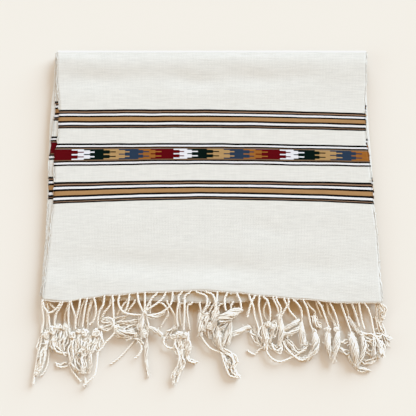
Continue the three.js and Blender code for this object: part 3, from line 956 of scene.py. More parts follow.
# Cords that leave a hem: which hem, how high they ride over their neighbours, and (across, past) points
hemCords = [
    ("top", 0.5, [(-162, 4), (-162.5, 8), (-161.5, 16), (-161, 24), (-162.5, 34)]),
    ("top", 0, [(-161.5, 4), (-160.5, 10), (-157.5, 14.5), (-157.5, 30)]),
    ("second", 0, [(-158, 4.5), (-157.3, 9), (-157, 14), (-156.5, 26)]),
    ("second", 1, [(-155.5, 5), (-152.5, 9), (-149, 12.5), (-150, 22)]),
    ("top", 1, [(-145, 5), (-148, 10.5), (-153, 14.5), (-156, 16), (-154.5, 30)]),
    ("top", 0, [(-143, 5), (-146.5, 12), (-149.5, 17), (-150.5, 22), (-150, 30)]),
    ("second", 0, [(-137, 4), (-138, 8), (-140, 15), (-141, 20), (-141, 28)]),
    ("top", 0.5, [(-136, 6), (-137, 14), (-137, 25), (-136, 35)]),
    ("top", 0, [(-134.5, 3), (-134, 8), (-131.5, 15), (-130.5, 20), (-130.5, 30)]),
    ("top", 0, [(-126, 1), (-127, 10), (-129.5, 20), (-130.5, 27)]),
    ("second", 0, [(-122, 0), (-125, 10), (-127, 18), (-128.5, 27)]),
    ("top", 0, [(-119.5, 2), (-121.5, 12), (-123, 22), (-124, 28)]),
    ("second", 0.5, [(-115.5, 2), (-118, 12), (-119, 20), (-119, 30)]),
    ("second", 0, [(-114, 0), (-116.5, 10), (-119, 17), (-120.5, 24)]),
    ("top", 0.5, [(-112.5, 0), (-111, 8), (-111, 16), (-113.5, 23), (-117, 26)]),
    ("top", 0, [(-103, 1), (-104, 8), (-107.5, 14), (-109, 22), (-108, 30)]),
    ("second", 0, [(-95, 3), (-98, 9), (-103, 15), (-107, 21)]),
    ("second", 0.8, [(-97.5, 8), (-101, 12), (-103, 15), (-105.5, 20)]),
    ("top", 1.5, [(-95, -2), (-94.5, 6), (-94, 15), (-93.5, 25), (-92.5, 33), (-96, 38), (-101, 43),
                  (-105, 49), (-108, 52), (-109, 62), (-111, 74), (-117, 80), (-121, 84)]),
    ("top", 1, [(-88.5, -2), (-89.5, 4), (-88, 10), (-84, 14.5), (-77, 16.5), (-70, 17), (-63, 17)]),
    ("second", 0, [(-81.5, 3), (-84.5, 7), (-89, 14), (-91, 17)]),
    ("top", 0, [(-79, -1), (-80, 6), (-82, 12), (-84.5, 16)]),
    ("second", 0, [(-74, 5), (-77, 9), (-80.5, 13)]),
    ("top", 0, [(-71, -4), (-70.5, 2), (-69, 7), (-66, 13), (-64, 17)]),
    ("top", 0.8, [(-64, -2), (-64, 4), (-64, 10), (-65, 14), (-65, 22)]),
    ("second", 0, [(-59, 4), (-59, 11), (-59.5, 15)]),
    ("top", 0.4, [(-53, -4), (-57, 1), (-60, 6), (-62.5, 11), (-63.5, 16)]),
    ("top", 1.4, [(-44.5, -4), (-47.5, 2), (-52, 6), (-58, 10), (-63, 13)]),
    ("second", 0, [(-50, 4), (-46, 7), (-42.5, 12), (-42, 17), (-46, 23), (-49, 28)]),
    ("top", 1.8, [(-37.5, -5), (-38, 3), (-40.5, 9), (-45, 13), (-51, 16), (-60, 17.5)]),
    ("second", 0.6, [(-42.5, 1), (-41, 8), (-38, 13), (-35.5, 18), (-35, 27)]),
    ("top", 0, [(-29, -5), (-32, 0), (-31.5, 5), (-33, 12), (-33.5, 22), (-32, 28)]),
    ("second", 0, [(-26, 4), (-30.5, 7), (-30.5, 20), (-28.5, 28)]),
    ("top", 0, [(-21, -6), (-25.5, -1), (-26, 5), (-26, 12), (-26.5, 22), (-27, 31)]),
    ("second", 0.4, [(-19.5, 3.5), (-23, 8), (-23.5, 14), (-22.5, 22), (-21, 31)]),
    ("second", 0, [(-11.5, 3), (-11.5, 8), (-10, 14), (-9, 18)]),
    ("top", 0.6, [(-14, -6), (-7, -2), (-4.5, 1), (-5, 8), (-9, 16)]),
    ("second", 0, [(-2, 3), (-4, 9), (-7, 14), (-8.5, 17)]),
    ("second", 0, [(2.5, 4), (0, 10), (-3, 16), (-4.5, 19)]),
    ("top", 0, [(-5, -6), (0, -3), (2.5, 1), (3.5, 6), (3, 12), (0, 20)]),
    ("top", 0.6, [(5.5, -6), (5, 0), (4.5, 7), (4.5, 14), (5, 20)]),
    ("second", 0, [(11.5, 3), (8, 7), (5.5, 11), (4, 16)]),
    ("top", 0, [(14.5, -4), (12.5, 1), (12.5, 8), (13.5, 13)]),
    ("second", 0, [(20, 4), (18.5, 8), (18.5, 14)]),
    ("top", 0, [(24.5, -3), (27, 3), (28, 9), (28.5, 13)]),
    ("top", 0, [(36, -2), (38, 5), (40, 10), (41, 18), (43, 24), (45, 31)]),
    ("top", 1, [(41, -3), (38.5, 4), (36, 11), (34, 19)]),
    ("top", 0, [(45.5, 2), (45, 8), (46, 15), (48, 24), (49, 30)]),
    ("top", 0.8, [(50, -1), (53, 3), (55, 9), (56, 15), (55.5, 22)]),
    ("second", 0, [(53, 4), (50, 11), (50, 16), (52, 21), (54, 23)]),
    ("top", 0, [(59, 0), (60, 4), (62.5, 9), (64, 15), (64, 25)]),
    ("top", 0.6, [(62, 0), (63, 5), (66, 10), (66, 14), (65, 20)]),
    ("top", 0, [(69.5, 0), (70.5, 5), (73, 10), (76, 15), (81, 20)]),
    ("top", 1, [(73.5, 1), (73.5, 6), (70, 12), (67, 17), (65.5, 20)]),
    ("top", 0, [(78.5, 1), (80, 4), (84, 9), (86, 14), (86, 24)]),
    ("second", 0, [(91, 3), (92, 6), (95, 10), (99, 14), (99, 22)]),
    ("top", 0, [(88, 4), (91, 10), (93, 18), (94.5, 26), (97.5, 33)]),
    ("second", 0, [(100, 2), (101, 8), (103, 13), (105.5, 19)]),
    ("top", 0, [(102, 3), (105, 9), (108, 17), (111, 26), (112, 30)]),
    ("second", 0.5, [(110, 4), (111, 8), (112, 14), (114.5, 19), (117, 23)]),
    ("top", 0, [(113.5, 5), (116, 11), (118.5, 17), (120.5, 24), (121.5, 34)]),
    ("top", 0, [(124, 6), (126, 13), (129, 21), (132, 30), (133.5, 36)]),
    ("second", 0, [(128, 6), (130, 12), (131.5, 19), (132, 26)]),
    ("top", 0, [(134.5, 6), (136.5, 13), (139, 20), (141, 28)]),
    ("second", 0, [(138.5, 6), (138.5, 11), (140, 20)]),
    ("top", 0.5, [(141, 7), (142, 14), (144, 24), (146, 30)]),
    ("top", 0, [(147, 6), (150, 12), (152.5, 20), (154, 28), (155.5, 36)]),
    ("second", 0, [(157, 6), (158, 13), (158.5, 20), (160, 32)]),
    ("second", 0.8, [(159.5, 2), (162, 7), (165, 12), (166, 17), (164, 20), (161, 24)]),
    ("second", 0, [(160, 8), (161, 16), (163, 24), (166, 32)]),
]

# Cords further out: tails, loops and bights between the knots
looseCords = [
    ("top", 0, [(-161.5, 35), (-163, 44), (-165, 52), (-166.5, 62), (-168, 75), (-168.5, 82)]),
    ("top", 0.5, [(-157, 42), (-160, 56), (-164, 62), (-166, 72)]),
    ("second", 0, [(-154, 40), (-155.5, 55), (-156, 62), (-159, 70), (-162, 74)]),
    ("top", 0, [(-153, 36), (-152.5, 42), (-151, 49), (-146, 53), (-139, 54)]),
    ("second", 0, [(-149, 62), (-147, 63), (-143, 64), (-141, 62), (-138, 62)]),
    ("second", 0.6, [(-148, 64), (-146, 65.5), (-141, 66), (-137, 65)]),
    ("second", 0, [(-134, 50), (-134, 66), (-130, 73), (-124, 80)]),
    ("second", 0.6, [(-133, 52), (-132, 66), (-128, 70), (-122, 72), (-115, 70)]),
    ("top", 0, [(-72, 35), (-70, 39), (-67.5, 45), (-67, 50), (-70, 55), (-73, 58)]),
    ("second", 0, [(-70, 36), (-77, 45), (-88, 57), (-96, 63)]),
    ("top", 0, [(-45, 38), (-46, 43), (-43, 47), (-38, 48.5), (-34, 48)]),
    ("second", 0, [(-33.5, 38), (-31, 50), (-29, 58), (-29.5, 64), (-33, 71), (-37, 80)]),
    ("top", 0, [(-31, 38), (-30, 45), (-27.5, 55), (-28, 64), (-31, 74), (-33, 80)]),
    ("top", 0.4, [(-25, 38), (-25, 48), (-24, 56), (-22, 60), (-17, 62), (-13, 61)]),
    ("top", 0.5, [(-12, 34), (-7, 42), (-2, 48), (4, 51), (9, 53), (11, 60), (14, 68), (17, 74), (25, 76)]),
    ("second", 0, [(8, 46), (10, 50), (17, 56), (22, 62), (22, 70), (24, 74)]),
    ("top", 0, [(10, 48), (13, 52), (22, 57), (25, 62)]),
    ("second", 0, [(9, 50), (12, 58), (13, 66), (15, 72), (19, 75)]),
    ("second", 0, [(37, 29), (40, 37), (47, 45), (50, 50)]),
    ("second", 0, [(40, 27), (43, 35), (50, 44)]),
    ("second", 0, [(34, 50), (36, 52), (41, 54), (45, 50), (52, 46)]),
    ("top", 0, [(52, 40), (52, 48), (53, 53), (57, 58), (63, 61), (68, 60.5), (75, 57.5), (82, 54),
                (90, 48)]),
    ("top", 0.8, [(68, 42), (70, 47), (76, 54), (84, 59.5), (90, 58), (97, 53)]),
    ("second", 0, [(69, 38), (71, 44), (78, 50), (86, 52), (90, 47), (92, 42)]),
    ("top", 0, [(57, 44), (60, 50), (64, 52), (67, 48), (65, 44)]),
    ("second", 0.5, [(52, 46), (58, 49), (66, 47), (70, 42), (70, 36)]),
    ("second", 0, [(119, 40), (121, 50), (128, 54), (131, 60), (135, 65), (140, 70), (147, 70.5)]),
    ("top", 0, [(130, 52), (131, 58), (137, 65), (141, 60), (144, 56), (145, 48)]),
    ("second", 0.5, [(136, 62), (138, 67), (143, 67.5), (147, 67)]),
    ("second", 0, [(141, 60), (143, 62), (150, 62), (155, 59)]),
    ("second", 0, [(-103, 21), (-96, 20.5), (-88, 19), (-83, 18), (-80, 16.5)]),
    ("second", 0.6, [(-94, 25), (-91, 24), (-85, 21), (-82, 18)]),
]


def cordRoute(row, lift, points, fromHem):
    spots = points
    if fromHem:
        across, past = points[0]
        start = read(hems, "across", across, row) - fringe["zero"]
        inside = (mix(across, points[1][0], -fringe["rootSlant"]), start - fringe["rootInside"])
        spots = [inside, (across, max(past, start + fringe["rootOutside"])), *points[1:]]
    route = []
    for i, (across, past) in enumerate(spots):
        along = fringe["zero"] + past
        spread = fringe["cordSpread"] * (fringe["rootSpread"] if fromHem and i == 0 else 1)
        route.append((place(across, along, cordHeight(row, across, along, lift)), spread))
    return {"points": route, "strands": 2}


cordRows = {"top": [], "second": []}
for row, lift, points in hemCords:
    cordRows[row].append(cordRoute(row, lift, points, True))
for row, lift, points in looseCords:
    cordRows[row].append(cordRoute(row, lift, points, False))


# Hanks: cords that run side by side from knot to knot and spread out on the way.
# Which fringe, how high, how many cords, how wide the hank spreads, and (across, past) points
hanks = [
    ("second", 0, 2, 1.5, [(-162, 26), (-164.5, 38), (-165, 52), (-167, 66)]),
    ("top", 0, 4, 3.0, [(-157.5, 36), (-157, 47), (-161, 60), (-165, 74)]),
    ("top", 0.6, 3, 3.5, [(-151, 33), (-151.5, 44), (-146, 52), (-138, 54)]),
    ("top", 0, 2, 3.0, [(-147, 31), (-148.5, 42), (-145, 51)]),
    ("top", 0, 4, 6.5, [(-142, 31), (-144, 40), (-146, 49)]),
    ("top", 0.4, 3, 4.5, [(-138.5, 30), (-140, 40), (-141, 51)]),
    ("second", 0.4, 2, 2.5, [(-136.5, 28), (-136, 40), (-138, 53)]),
    ("second", 0, 4, 9.0, [(-150, 30), (-151, 42), (-149, 52)]),
    ("top", 0, 3, 3.5, [(-133, 38), (-134, 50), (-134, 64)]),
    ("top", 0.5, 3, 4.5, [(-129, 34), (-130, 43), (-130, 54)]),
    ("top", 0.8, 4, 7.0, [(-121, 35), (-124.5, 45), (-128, 54)]),
    ("top", 0.3, 4, 5.0, [(-117, 36), (-119, 46), (-122, 56)]),
    ("top", 0, 3, 4.5, [(-111, 36), (-114, 44), (-119, 53)]),
    ("second", 0, 3, 8.0, [(-127, 40), (-127, 52), (-123, 64)]),
    ("top", 0, 3, 3.5, [(-122, 56), (-121, 64), (-121, 72)]),
    ("second", 0.5, 3, 5.0, [(-130, 54), (-130, 63), (-125, 71)]),
    ("second", 0.8, 2, 3.0, [(-119, 54), (-117, 62), (-117, 72)]),
    ("top", 0, 2, 2.0, [(-110, 36), (-111, 45), (-115, 54), (-116, 68)]),
    ("top", 0.4, 3, 4.5, [(-107, 32), (-106, 40), (-107, 50)]),
    ("top", 0.8, 3, 3.5, [(-105, 29), (-100, 30.5), (-95.5, 28), (-95.5, 23.5), (-100, 21), (-105, 24)]),
    ("second", 0.6, 4, 5.0, [(-93, 27), (-84, 25.5), (-70, 24)]),
    ("second", 0, 2, 2.0, [(-92, 31), (-82, 29), (-71, 28)]),
    ("top", 0, 3, 3.0, [(-92, 35), (-87, 38), (-80, 38.5), (-74, 37)]),
    ("top", 0.3, 4, 4.5, [(-66.5, 17), (-68, 27), (-65.5, 38)]),
    ("top", 0.8, 3, 3.0, [(-63.5, 15), (-62, 26), (-61.5, 38)]),
    ("top", 0, 2, 1.5, [(-74, 38), (-69, 41.5), (-65, 44)]),
    ("second", 0, 4, 3.5, [(-46, 39), (-41, 34.5), (-34, 27)]),
    ("top", 0, 3, 3.5, [(-40, 38), (-34, 38.5), (-26, 38)]),
    ("top", 0.3, 3, 3.0, [(-34, 39), (-33.5, 48), (-30, 58), (-31.5, 66), (-37, 77)]),
    ("top", 0, 3, 2.5, [(-28.5, 39), (-28.5, 54), (-28, 64), (-31.5, 74)]),
    ("top", 0.6, 4, 3.5, [(-24, 33), (-22.5, 44), (-23.5, 56)]),
    ("second", 0, 3, 2.5, [(-24, 54), (-22, 60), (-15, 62)]),
    ("top", 0, 3, 3.5, [(-4, 15), (-8.5, 23), (-7, 35)]),
    ("top", 0.3, 3, 4.0, [(4.5, 11), (3.5, 20), (0.5, 30)]),
    ("second", 0.8, 5, 9.0, [(-6, 18), (-4, 28), (-1, 38)]),
    ("top", 0.3, 4, 6.0, [(0, 24), (4, 33), (6, 43)]),
    ("second", 0.6, 5, 7.0, [(3, 32), (6, 43), (11, 51)]),
    ("second", 0.4, 3, 3.0, [(9, 47), (11.5, 55), (13.5, 63), (16.5, 71)]),
    ("top", 0, 3, 3.5, [(11, 49), (18, 54.5), (22.5, 62), (21, 69), (25, 77)]),
    ("second", 0, 2, 3.0, [(10, 50), (16, 57), (21, 65), (18, 74)]),
    ("second", 0.6, 2, 2.5, [(20, 56), (15, 62), (19, 70), (26, 76)]),
    ("second", 0, 3, 5.0, [(37, 31), (41.5, 38), (48, 46)]),
    ("top", 0, 3, 3.0, [(52, 25), (51, 36), (52, 50)]),
    ("top", 0, 3, 4.5, [(60, 22), (61, 30), (58.5, 37)]),
    ("second", 0.5, 4, 7.0, [(50, 24), (48.5, 34), (51, 46)]),
    ("second", 0, 3, 3.5, [(53, 44), (58, 47.5), (64, 46), (67, 42)]),
    ("top", 0, 2, 2.0, [(57, 44), (60, 51), (65, 52), (67, 47), (65.5, 42)]),
    ("second", 0, 4, 4.0, [(69, 38), (71, 48), (78, 55.5), (86, 59), (93, 56), (97, 51)]),
    ("second", 0.6, 3, 4.0, [(71, 38), (75, 46), (82, 51.5), (89, 50), (92, 44)]),
    ("second", 0.6, 3, 4.5, [(97.5, 17), (99, 22), (104, 29)]),
    ("top", 0, 2, 2.0, [(121, 42), (126, 43), (131, 41)]),
    ("top", 0, 2, 2.0, [(120, 48), (126, 50.5), (131, 55)]),
    ("second", 0.5, 4, 6.5, [(154, 34), (156, 45), (157, 58)]),
    ("top", 0, 4, 5.5, [(156, 37), (160.5, 47), (164, 57)]),
    ("top", 0, 3, 2.5, [(142, 33), (151, 36.5), (162, 38)]),
    ("top", 0, 3, 4.0, [(145, 39), (153, 43), (163, 43)]),
    ("second", 0, 3, 3.0, [(142, 58), (147, 61.5), (153, 61), (158, 56)]),
    ("second", 0.3, 4, 4.5, [(158, 3), (162, 8), (165.5, 14), (164, 20)]),
    ("second", 0, 3, 4.0, [(158, 18), (161, 27), (166, 40)]),
    ("second", 0.4, 3, 4.0, [(145, 40), (148, 50), (153, 58)]),
]
hankCord = {"spacing": 3.6, "pinch": 0.5, "stray": 0.75, "swing": 1.3, "halfSwings": 3, "piled": 3.0,
            "spread": 0.45, "seed": 11}


# The spots that cut a chain of (across, past, ...) points into pieces of even length
def evenSpots(points, spacing):
    chain = np.array(points, float)
    reach = np.concatenate([[0], np.cumsum(np.hypot(*np.diff(chain[:, :2], axis=0).T))])
    steps = max(3, round(reach[-1] / spacing))
    return [
        (i / steps, [float(np.interp(reach[-1] * i / steps, reach, column)) for column in chain.T])
        for i in range(steps + 1)
    ]


def hankRoutes(row, lift, cords, width, points, dice):
    spots = evenSpots(points, hankCord["spacing"])
    for cord in range(cords):
        side = 2 * cord / (cords - 1) - 1
        piled = dice.uniform(0, hankCord["piled"])
        swing, phase = dice.uniform(0.4, 1) * hankCord["swing"], dice.uniform(0, 2 * math.pi)
        route = []
        for i, (share, (across, past)) in enumerate(spots):
            before, after = spots[max(i - 1, 0)][1], spots[min(i + 1, len(spots) - 1)][1]
            way = Vector((after[0] - before[0], after[1] - before[1])).normalized()
            openness = mix(hankCord["pinch"], 1, math.sin(math.pi * share) ** 0.7)
            aside = side * openness * width / 2 + dice.uniform(-1, 1) * hankCord["stray"]
            aside += swing * math.sin(hankCord["halfSwings"] * math.pi * share + phase)
            across, past = across + way.y * aside, past - way.x * aside
            along = fringe["zero"] + past
            pile = lift + piled * math.sin(math.pi * share) + dice.uniform(-1, 1) * hankCord["stray"]
            route.append((place(across, along, cordHeight(row, across, along, pile)), hankCord["spread"]))
        yield {"points": route, "strands": 2}


dice = random.Random(hankCord["seed"])
hankRows = {"top": [], "second": []}
for row, lift, cords, width, points in hanks:
    hankRows[row] += hankRoutes(row, lift, cords, width, points, dice)

# Tassels: the loose end of a clump, round and closed like a bud. (across, past, radius) points
tassels = [
    ("top", 0.3, 22, [(-64.5, 14, 0.9), (-66.5, 21, 2.2), (-67, 30, 2.8), (-65, 39, 1.8)]),
    ("second", 0, 14, [(-63.5, 34, 1.3), (-62.5, 44, 1.7), (-62.5, 56, 1.6), (-62, 64, 1.2), (-60, 75, 0.5)]),
    ("top", 0, 12, [(-64, 17.5, 0.8), (-58, 18.5, 1.8), (-51, 18, 1.3), (-45, 14.5, 0.7)]),
    ("top", 0, 20, [(-62, 28, 0.9), (-57, 30.5, 2.4), (-52, 33, 2.6), (-47.5, 36, 1.8)]),
    ("top", 0, 26, [(-92, 31, 1.0), (-87, 33.5, 3.0), (-80, 34, 3.0), (-74, 33, 1.8)]),
    ("top", 0.5, 60, [(29, 12.5, 1.4), (24.5, 13.6, 3.2), (18.5, 16.8, 4.6), (12.5, 20, 5.0),
                      (7.5, 22.5, 4.4)]),
    ("top", 0.2, 24, [(16, 20, 2.2), (13, 24.5, 3.0), (9.5, 29, 2.6), (6, 32, 1.8)]),
    ("top", 0, 18, [(17.5, 21, 1.2), (17.5, 29, 2.0), (17, 37, 2.3), (15.5, 45, 1.2)]),
    ("top", 0.4, 16, [(15, 31, 0.9), (13.5, 37, 1.9), (11.5, 43, 1.8), (9.5, 48, 0.9)]),
    ("top", 0.6, 24, [(7, 31, 1.2), (6.5, 37, 3.2), (7, 43, 2.8), (9, 50, 1.2)]),
    ("top", 0.3, 22, [(-11, 15, 0.9), (-11.5, 22, 2.4), (-11.5, 30, 2.6), (-11, 37, 1.6)]),
    ("second", 1, 22, [(-3, 17, 1.0), (-5, 24, 2.6), (-4, 32, 3.0), (-1, 38, 1.8)]),
    ("top", 0.2, 18, [(3.5, 13, 0.9), (2.5, 20, 2.2), (1, 27, 2.4), (0, 33, 1.6)]),
    ("top", 0.6, 24, [(37, 28.5, 1.5), (32, 30, 2.0), (26, 32.8, 2.1), (20.5, 35.5, 1.8)]),
    ("top", 0.6, 14, [(84, 21.5, 0.8), (79, 24.5, 2.0), (73, 28.5, 2.0), (68, 31.5, 1.2)]),
    ("top", 0.3, 14, [(87, 26.5, 0.8), (81, 31, 2.0), (75, 34, 2.0), (69, 36.5, 1.2)]),
    ("top", 0, 26, [(85.5, 24, 1.5), (86, 31, 2.6), (86.5, 38, 2.8), (87, 45.5, 2.4)]),
    ("top", 0, 28, [(64.5, 16, 0.9), (65.5, 24, 2.4), (66.5, 32, 3.1), (66, 39, 2.3), (64.5, 46, 0.9)]),
    ("second", 0.6, 24, [(52, 24, 1.0), (51, 31, 2.6), (51.5, 39, 2.6), (52.5, 47, 1.2)]),
    ("second", 0.6, 20, [(58.5, 23, 1.0), (58, 30, 2.4), (57, 37, 2.2), (55, 43, 1.2)]),
    ("top", 0, 46, [(98, 32, 1.0), (99, 38, 3.1), (99, 45, 3.7), (97, 52, 2.7), (91, 58.5, 0.7)]),
    ("top", 0, 34, [(111, 32, 1.0), (110.5, 39, 2.7), (111, 47, 3.2), (113, 54, 2.2), (115, 61, 0.5)]),
    ("top", 0.4, 34, [(120.5, 33, 1.0), (119.5, 40, 2.8), (118, 47, 3.1), (116.5, 54, 2.1),
                      (115.5, 62, 0.5)]),
    ("top", 0, 54, [(133.5, 34, 1.1), (134, 41, 3.4), (135, 48, 4.3), (136, 55, 3.8), (137, 61, 1.8),
                    (137, 66, 0.5)]),
    ("top", 0.4, 24, [(143, 37, 1.0), (144.5, 44, 2.5), (143.5, 52, 2.5), (141, 59, 1.4), (138, 65, 0.5)]),
    ("second", 0.6, 14, [(131, 18, 0.8), (134, 24, 2.1), (138, 30, 1.9), (142, 37, 0.9)]),
    ("second", 0, 14, [(117, 22, 0.8), (119, 28, 2.2), (121, 35, 1.0)]),
    ("second", 0.5, 16, [(97, 18, 0.9), (98.5, 23, 2.6), (102, 28, 2.2)]),
]
# Wisps: thin open ends that fan out
wisps = [
    ("top", 0, 12, [(154, 35, 0.8), (156.5, 44, 4), (158, 55, 7)]),
    ("second", 0, 8, [(154, 34, 0.8), (162, 36, 2), (171, 40, 4)]),
    ("second", 0, 9, [(157, 18, 0.8), (160, 30, 1.6), (166, 47, 3)]),
    ("second", 0, 8, [(21, 66, 1), (23, 74, 3)]),
    ("second", 0, 8, [(-33, 70, 0.8), (-36, 82, 2.4)]),
    ("second", 0, 8, [(-166, 66, 0.8), (-169, 82, 1.6)]),
    ("second", 0, 8, [(-120, 76, 0.8), (-120, 85, 1.8)]),
    ("second", 0, 8, [(139, 66, 0.7), (150, 70, 1.6)]),
]


def bundleRoute(row, lift, strands, points):
    route = []
    for across, past, radius in points:
        along = fringe["zero"] + past
        route.append((place(across, along, cordHeight(row, across, along, lift + radius * 0.5)), radius))
    return {"points": route, "strands": strands}


tasselRows, wispRows = {"top": [], "second": []}, {"top": [], "second": []}
for rows, bundles in ((tasselRows, tassels), (wispRows, wisps)):
    for row, lift, strands, points in bundles:
        rows[row].append(bundleRoute(row, lift, strands, points))

# Knots: (row, across, past, size, turn in degrees)
knots = [
    ("top", -157.5, 35.5, 7.5, 20), ("top", -152, 32, 8, -30), ("top", -146.5, 29, 7, 60),
    ("top", -140, 29, 6, 20), ("second", -138, 53.5, 5, 60), ("top", -133, 37, 7, 0),
    ("top", -127, 33, 5.5, 60), ("top", -121, 34, 7.5, 10), ("top", -110.5, 34, 7.5, 20),
    ("top", -105.5, 29, 5, 80), ("second", -129, 57, 5, 0), ("second", -124, 58, 5, 75),
    ("top", -91, 29, 6, 50), ("top", -84, 34, 7, 90), ("top", -77, 33, 6, 70), ("top", -72.5, 36, 5, 10),
    ("top", -64, 14.5, 5, 30), ("top", -69, 29, 7, 10), ("top", -65, 34, 6.5, 0), ("top", -31, 35.5, 7, 80),
    ("top", -24.5, 37, 6, 0), ("second", -35, 29, 5, 40), ("top", -10, 19, 6, 0), ("top", -10, 29, 7, 10),
    ("top", -2, 28, 8, 20), ("second", -1, 34, 7, 30), ("top", 7, 36, 7, 10), ("second", 15, 62, 5, 30),
    ("second", 19, 67, 4.5, 90), ("top", 54, 26, 6, 10), ("top", 59, 29, 6, 0), ("second", 55, 40, 6, 0),
    ("top", 66, 29, 6, 0), ("top", 69, 35, 5, 60), ("top", 98, 33, 4.5, 30), ("top", 111, 31, 5.5, 0),
    ("top", 119, 31, 5.5, 0), ("second", 99.5, 23, 6.5, -20), ("second", 103, 27, 5.5, -40),
    ("top", 133.5, 36, 5, 0), ("top", 144, 37, 4.5, 0), ("second", 156, 38, 5, 60),
    ("second", 131, 20, 4.5, 45), ("second", 164, 19, 4.5, 0),
]
knotShape = {"rounds": 5, "pointsPerRound": 8, "roundTurn": 67, "lean": 50, "leanSwing": 35, "leanSwings": 3,
             "cordRadius": 1.1, "flatness": 0.55, "long": 1.25, "wide": 0.85, "stray": 0.9, "spread": 0.45}


# A knot pulled tight: rounds of cord that each lie across the last
def knotRoute(row, across, past, size, turn, dice):
    route = []
    along = fringe["zero"] + past
    radius = size / 2 - knotShape["cordRadius"]
    swing = math.radians(turn)
    height = cordHeight(row, across, along, size * knotShape["flatness"] / 2)
    steps = knotShape["rounds"] * knotShape["pointsPerRound"]
    for i in range(steps):
        share = i / steps
        angle = 2 * math.pi * knotShape["rounds"] * share
        heading = math.radians(knotShape["roundTurn"] * knotShape["rounds"] * share)
        leanSwing = knotShape["leanSwing"] * math.sin(2 * math.pi * knotShape["leanSwings"] * share)
        lean = math.radians(knotShape["lean"] + leanSwing)
        x, y, z = math.cos(angle), math.sin(angle) * math.cos(lean), math.sin(angle) * math.sin(lean)
        long = radius * knotShape["long"] * (x * math.cos(heading) - y * math.sin(heading))
        wide = radius * knotShape["wide"] * (x * math.sin(heading) + y * math.cos(heading))
        long += dice.uniform(-1, 1) * knotShape["stray"]
        wide += dice.uniform(-1, 1) * knotShape["stray"]
        spotAcross = across + wide * math.cos(swing) - long * math.sin(swing)
        spotAlong = along + wide * math.sin(swing) + long * math.cos(swing)
        level = height + radius * z * knotShape["flatness"]
        route.append((place(spotAcross, spotAlong, level), knotShape["spread"]))
    return {"points": route, "strands": 2, "closed": True}


knotRows = {"top": [], "second": []}
for row, across, past, size, turn in knots:
    knotRows[row].append(knotRoute(row, across, past, size, turn, dice))

topCords = makeYarn("topFringeCords", cordRows["top"], cordSizes)
secondCords = makeYarn("secondFringeCords", cordRows["second"], cordSizes)
hankSizes = {**cordSizes, "Strand radius": 0.52 * mm, "Step": 1.2 * mm, "Twist length": 7 * mm, "Sides": 5,
             "Fluff per area": 2e4, "Fluff length": 2.5 * mm, "Wander": 0.8 * mm}
topHanks = makeYarn("topFringeHanks", hankRows["top"], hankSizes)
secondHanks = makeYarn("secondFringeHanks", hankRows["second"], {**hankSizes, "Seed": 3})
tasselSizes = {"Strand radius": 0.42 * mm, "Step": 1.6 * mm, "Twist length": 45 * mm, "Sides": 5,
               "Scatter": 0.8, "Wander": 4.5 * mm, "Seed": 4, "Fluff per area": 4e4, "Fluff length": 2.6 * mm}
topTassels = makeYarn("topFringeTassels", tasselRows["top"], tasselSizes)
secondTassels = makeYarn("secondFringeTassels", tasselRows["second"], {**tasselSizes, "Seed": 9})
wispSizes = {"Strand radius": 0.45 * mm, "Step": 2 * mm, "Twist length": 200 * mm, "Sides": 5, "Scatter": 1.0,
             "Wander": 6 * mm, "Seed": 5, "Fluff per area": 3e4, "Fluff length": 3 * mm}
topWisps = makeYarn("topFringeWisps", wispRows["top"], wispSizes)
secondWisps = makeYarn("secondFringeWisps", wispRows["second"], {**wispSizes, "Seed": 6})
knotSizes = {"Strand radius": 0.5 * mm, "Step": 1.2 * mm, "Twist length": 6 * mm, "Sides": 5, "Seed": 2,
             "Fluff per area": 6e4, "Fluff length": 2.5 * mm}
topKnots = makeYarn("topFringeKnots", knotRows["top"], knotSizes)
secondKnots = makeYarn("secondFringeKnots", knotRows["second"], knotSizes)
print("the fringes are tied")


# Small loops of weft along the selvedges, and the last picks along a hem, which stand up like a cord
edging = {"pitch": 2.4, "loop": 0.9, "hemIn": 0.3, "spread": 0.3, "hemSpread": 0.45, "seed": 8}


def selvedgeRoutes(column, layersDown, dice):
    routes = []
    for side, outward in ((column + "Left", -1), (column + "Right", 1)):
        hem = read(hems, "across", hemEnd * outward, column)
        route, along = [], cloth["rollDepth"]
        while along < hem:
            bulge = dice.uniform(-0.3, 1) * edging["loop"]
            across = read(sideEdges, "along", along, side) + outward * bulge
            height = flapHeight(across, along, layersDown) + dice.uniform(-0.2, 0.2)
            route.append((place(across, along, height), edging["spread"]))
            along += edging["pitch"] * dice.uniform(0.5, 1.5)
        routes.append({"points": route, "strands": 2})
    return routes


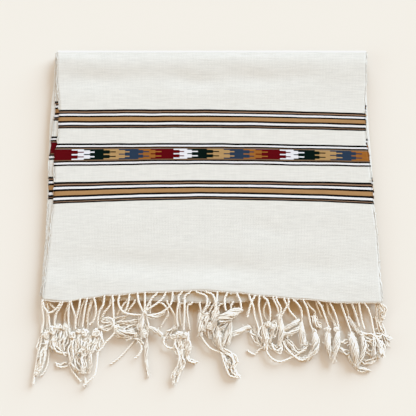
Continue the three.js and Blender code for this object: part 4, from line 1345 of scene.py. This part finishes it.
def hemRoutes(column, layersDown, dice):
    route, across = [], read(sideEdges, "along", 253, column + "Left")
    while across < read(sideEdges, "along", 253, column + "Right"):
        along = read(hems, "across", across, column) - edging["hemIn"] + dice.uniform(-0.25, 0.25)
        route.append((place(across, along, flapHeight(across, along, layersDown)), edging["hemSpread"]))
        across += edging["pitch"] * dice.uniform(0.5, 1.5)
    return [{"points": route, "strands": 2}]


dice = random.Random(edging["seed"])
edgeSizes = {"Strand radius": 0.48 * mm, "Step": 0.9 * mm, "Twist length": 3 * mm, "Sides": 6, "Seed": 7,
             "Fluff per area": 5e4, "Fluff length": 1.4 * mm}
topSelvedges = makeYarn("topFlapSelvedges", selvedgeRoutes("top", 0, dice), edgeSizes)
secondSelvedges = makeYarn("secondFlapSelvedges", selvedgeRoutes("second", 1, dice), edgeSizes)
topHemCord = makeYarn("topFlapHemCord", hemRoutes("top", 0, dice), edgeSizes)
secondHemCord = makeYarn("secondFlapHemCord", hemRoutes("second", 1, dice), edgeSizes)


# A weft thread turns back at the selvedge, so each loop there has the colour of its stripe
def weaveOn(piece, wool):
    mesh = piece.data
    weave = []
    for vertex in mesh.vertices:
        across, along = vertex.co.x / mm, (farFold - vertex.co.y) / mm
        weave.append((across * mm, (along - weftBow(across, along)) * mm))
    layWeave(mesh, weave)
    mesh.materials.clear()
    mesh.materials.append(wool)


weaveOn(topSelvedges, topWool)
weaveOn(secondSelvedges, otherWool)

# The pieces join the root body, and the solids they stand for are hidden

clothPieces = {"top_flap": [topCloth], "second_flap": [secondCloth], "folded_core": [coreCloth]}
edgePieces = {"top_flap": [topSelvedges, topHemCord], "second_flap": [secondSelvedges, secondHemCord]}
fringePieces = {
    "top_fringe": [topCords, topHanks, topTassels, topWisps, topKnots],
    "second_fringe": [secondCords, secondHanks, secondTassels, secondWisps, secondKnots],
}
handOver = (
    (clothPieces, "cream_wool", "cloth"),
    (edgePieces, "cream_wool", None),
    (fringePieces, "fringe_wool", "yarn"),
)
for group, slot, lightGroup in handOver:
    for node, pieces in group.items():
        for piece in pieces:
            if lightGroup:
                lightGroups[lightGroup].objects.link(piece)
            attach(piece, "root")
            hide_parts(node)
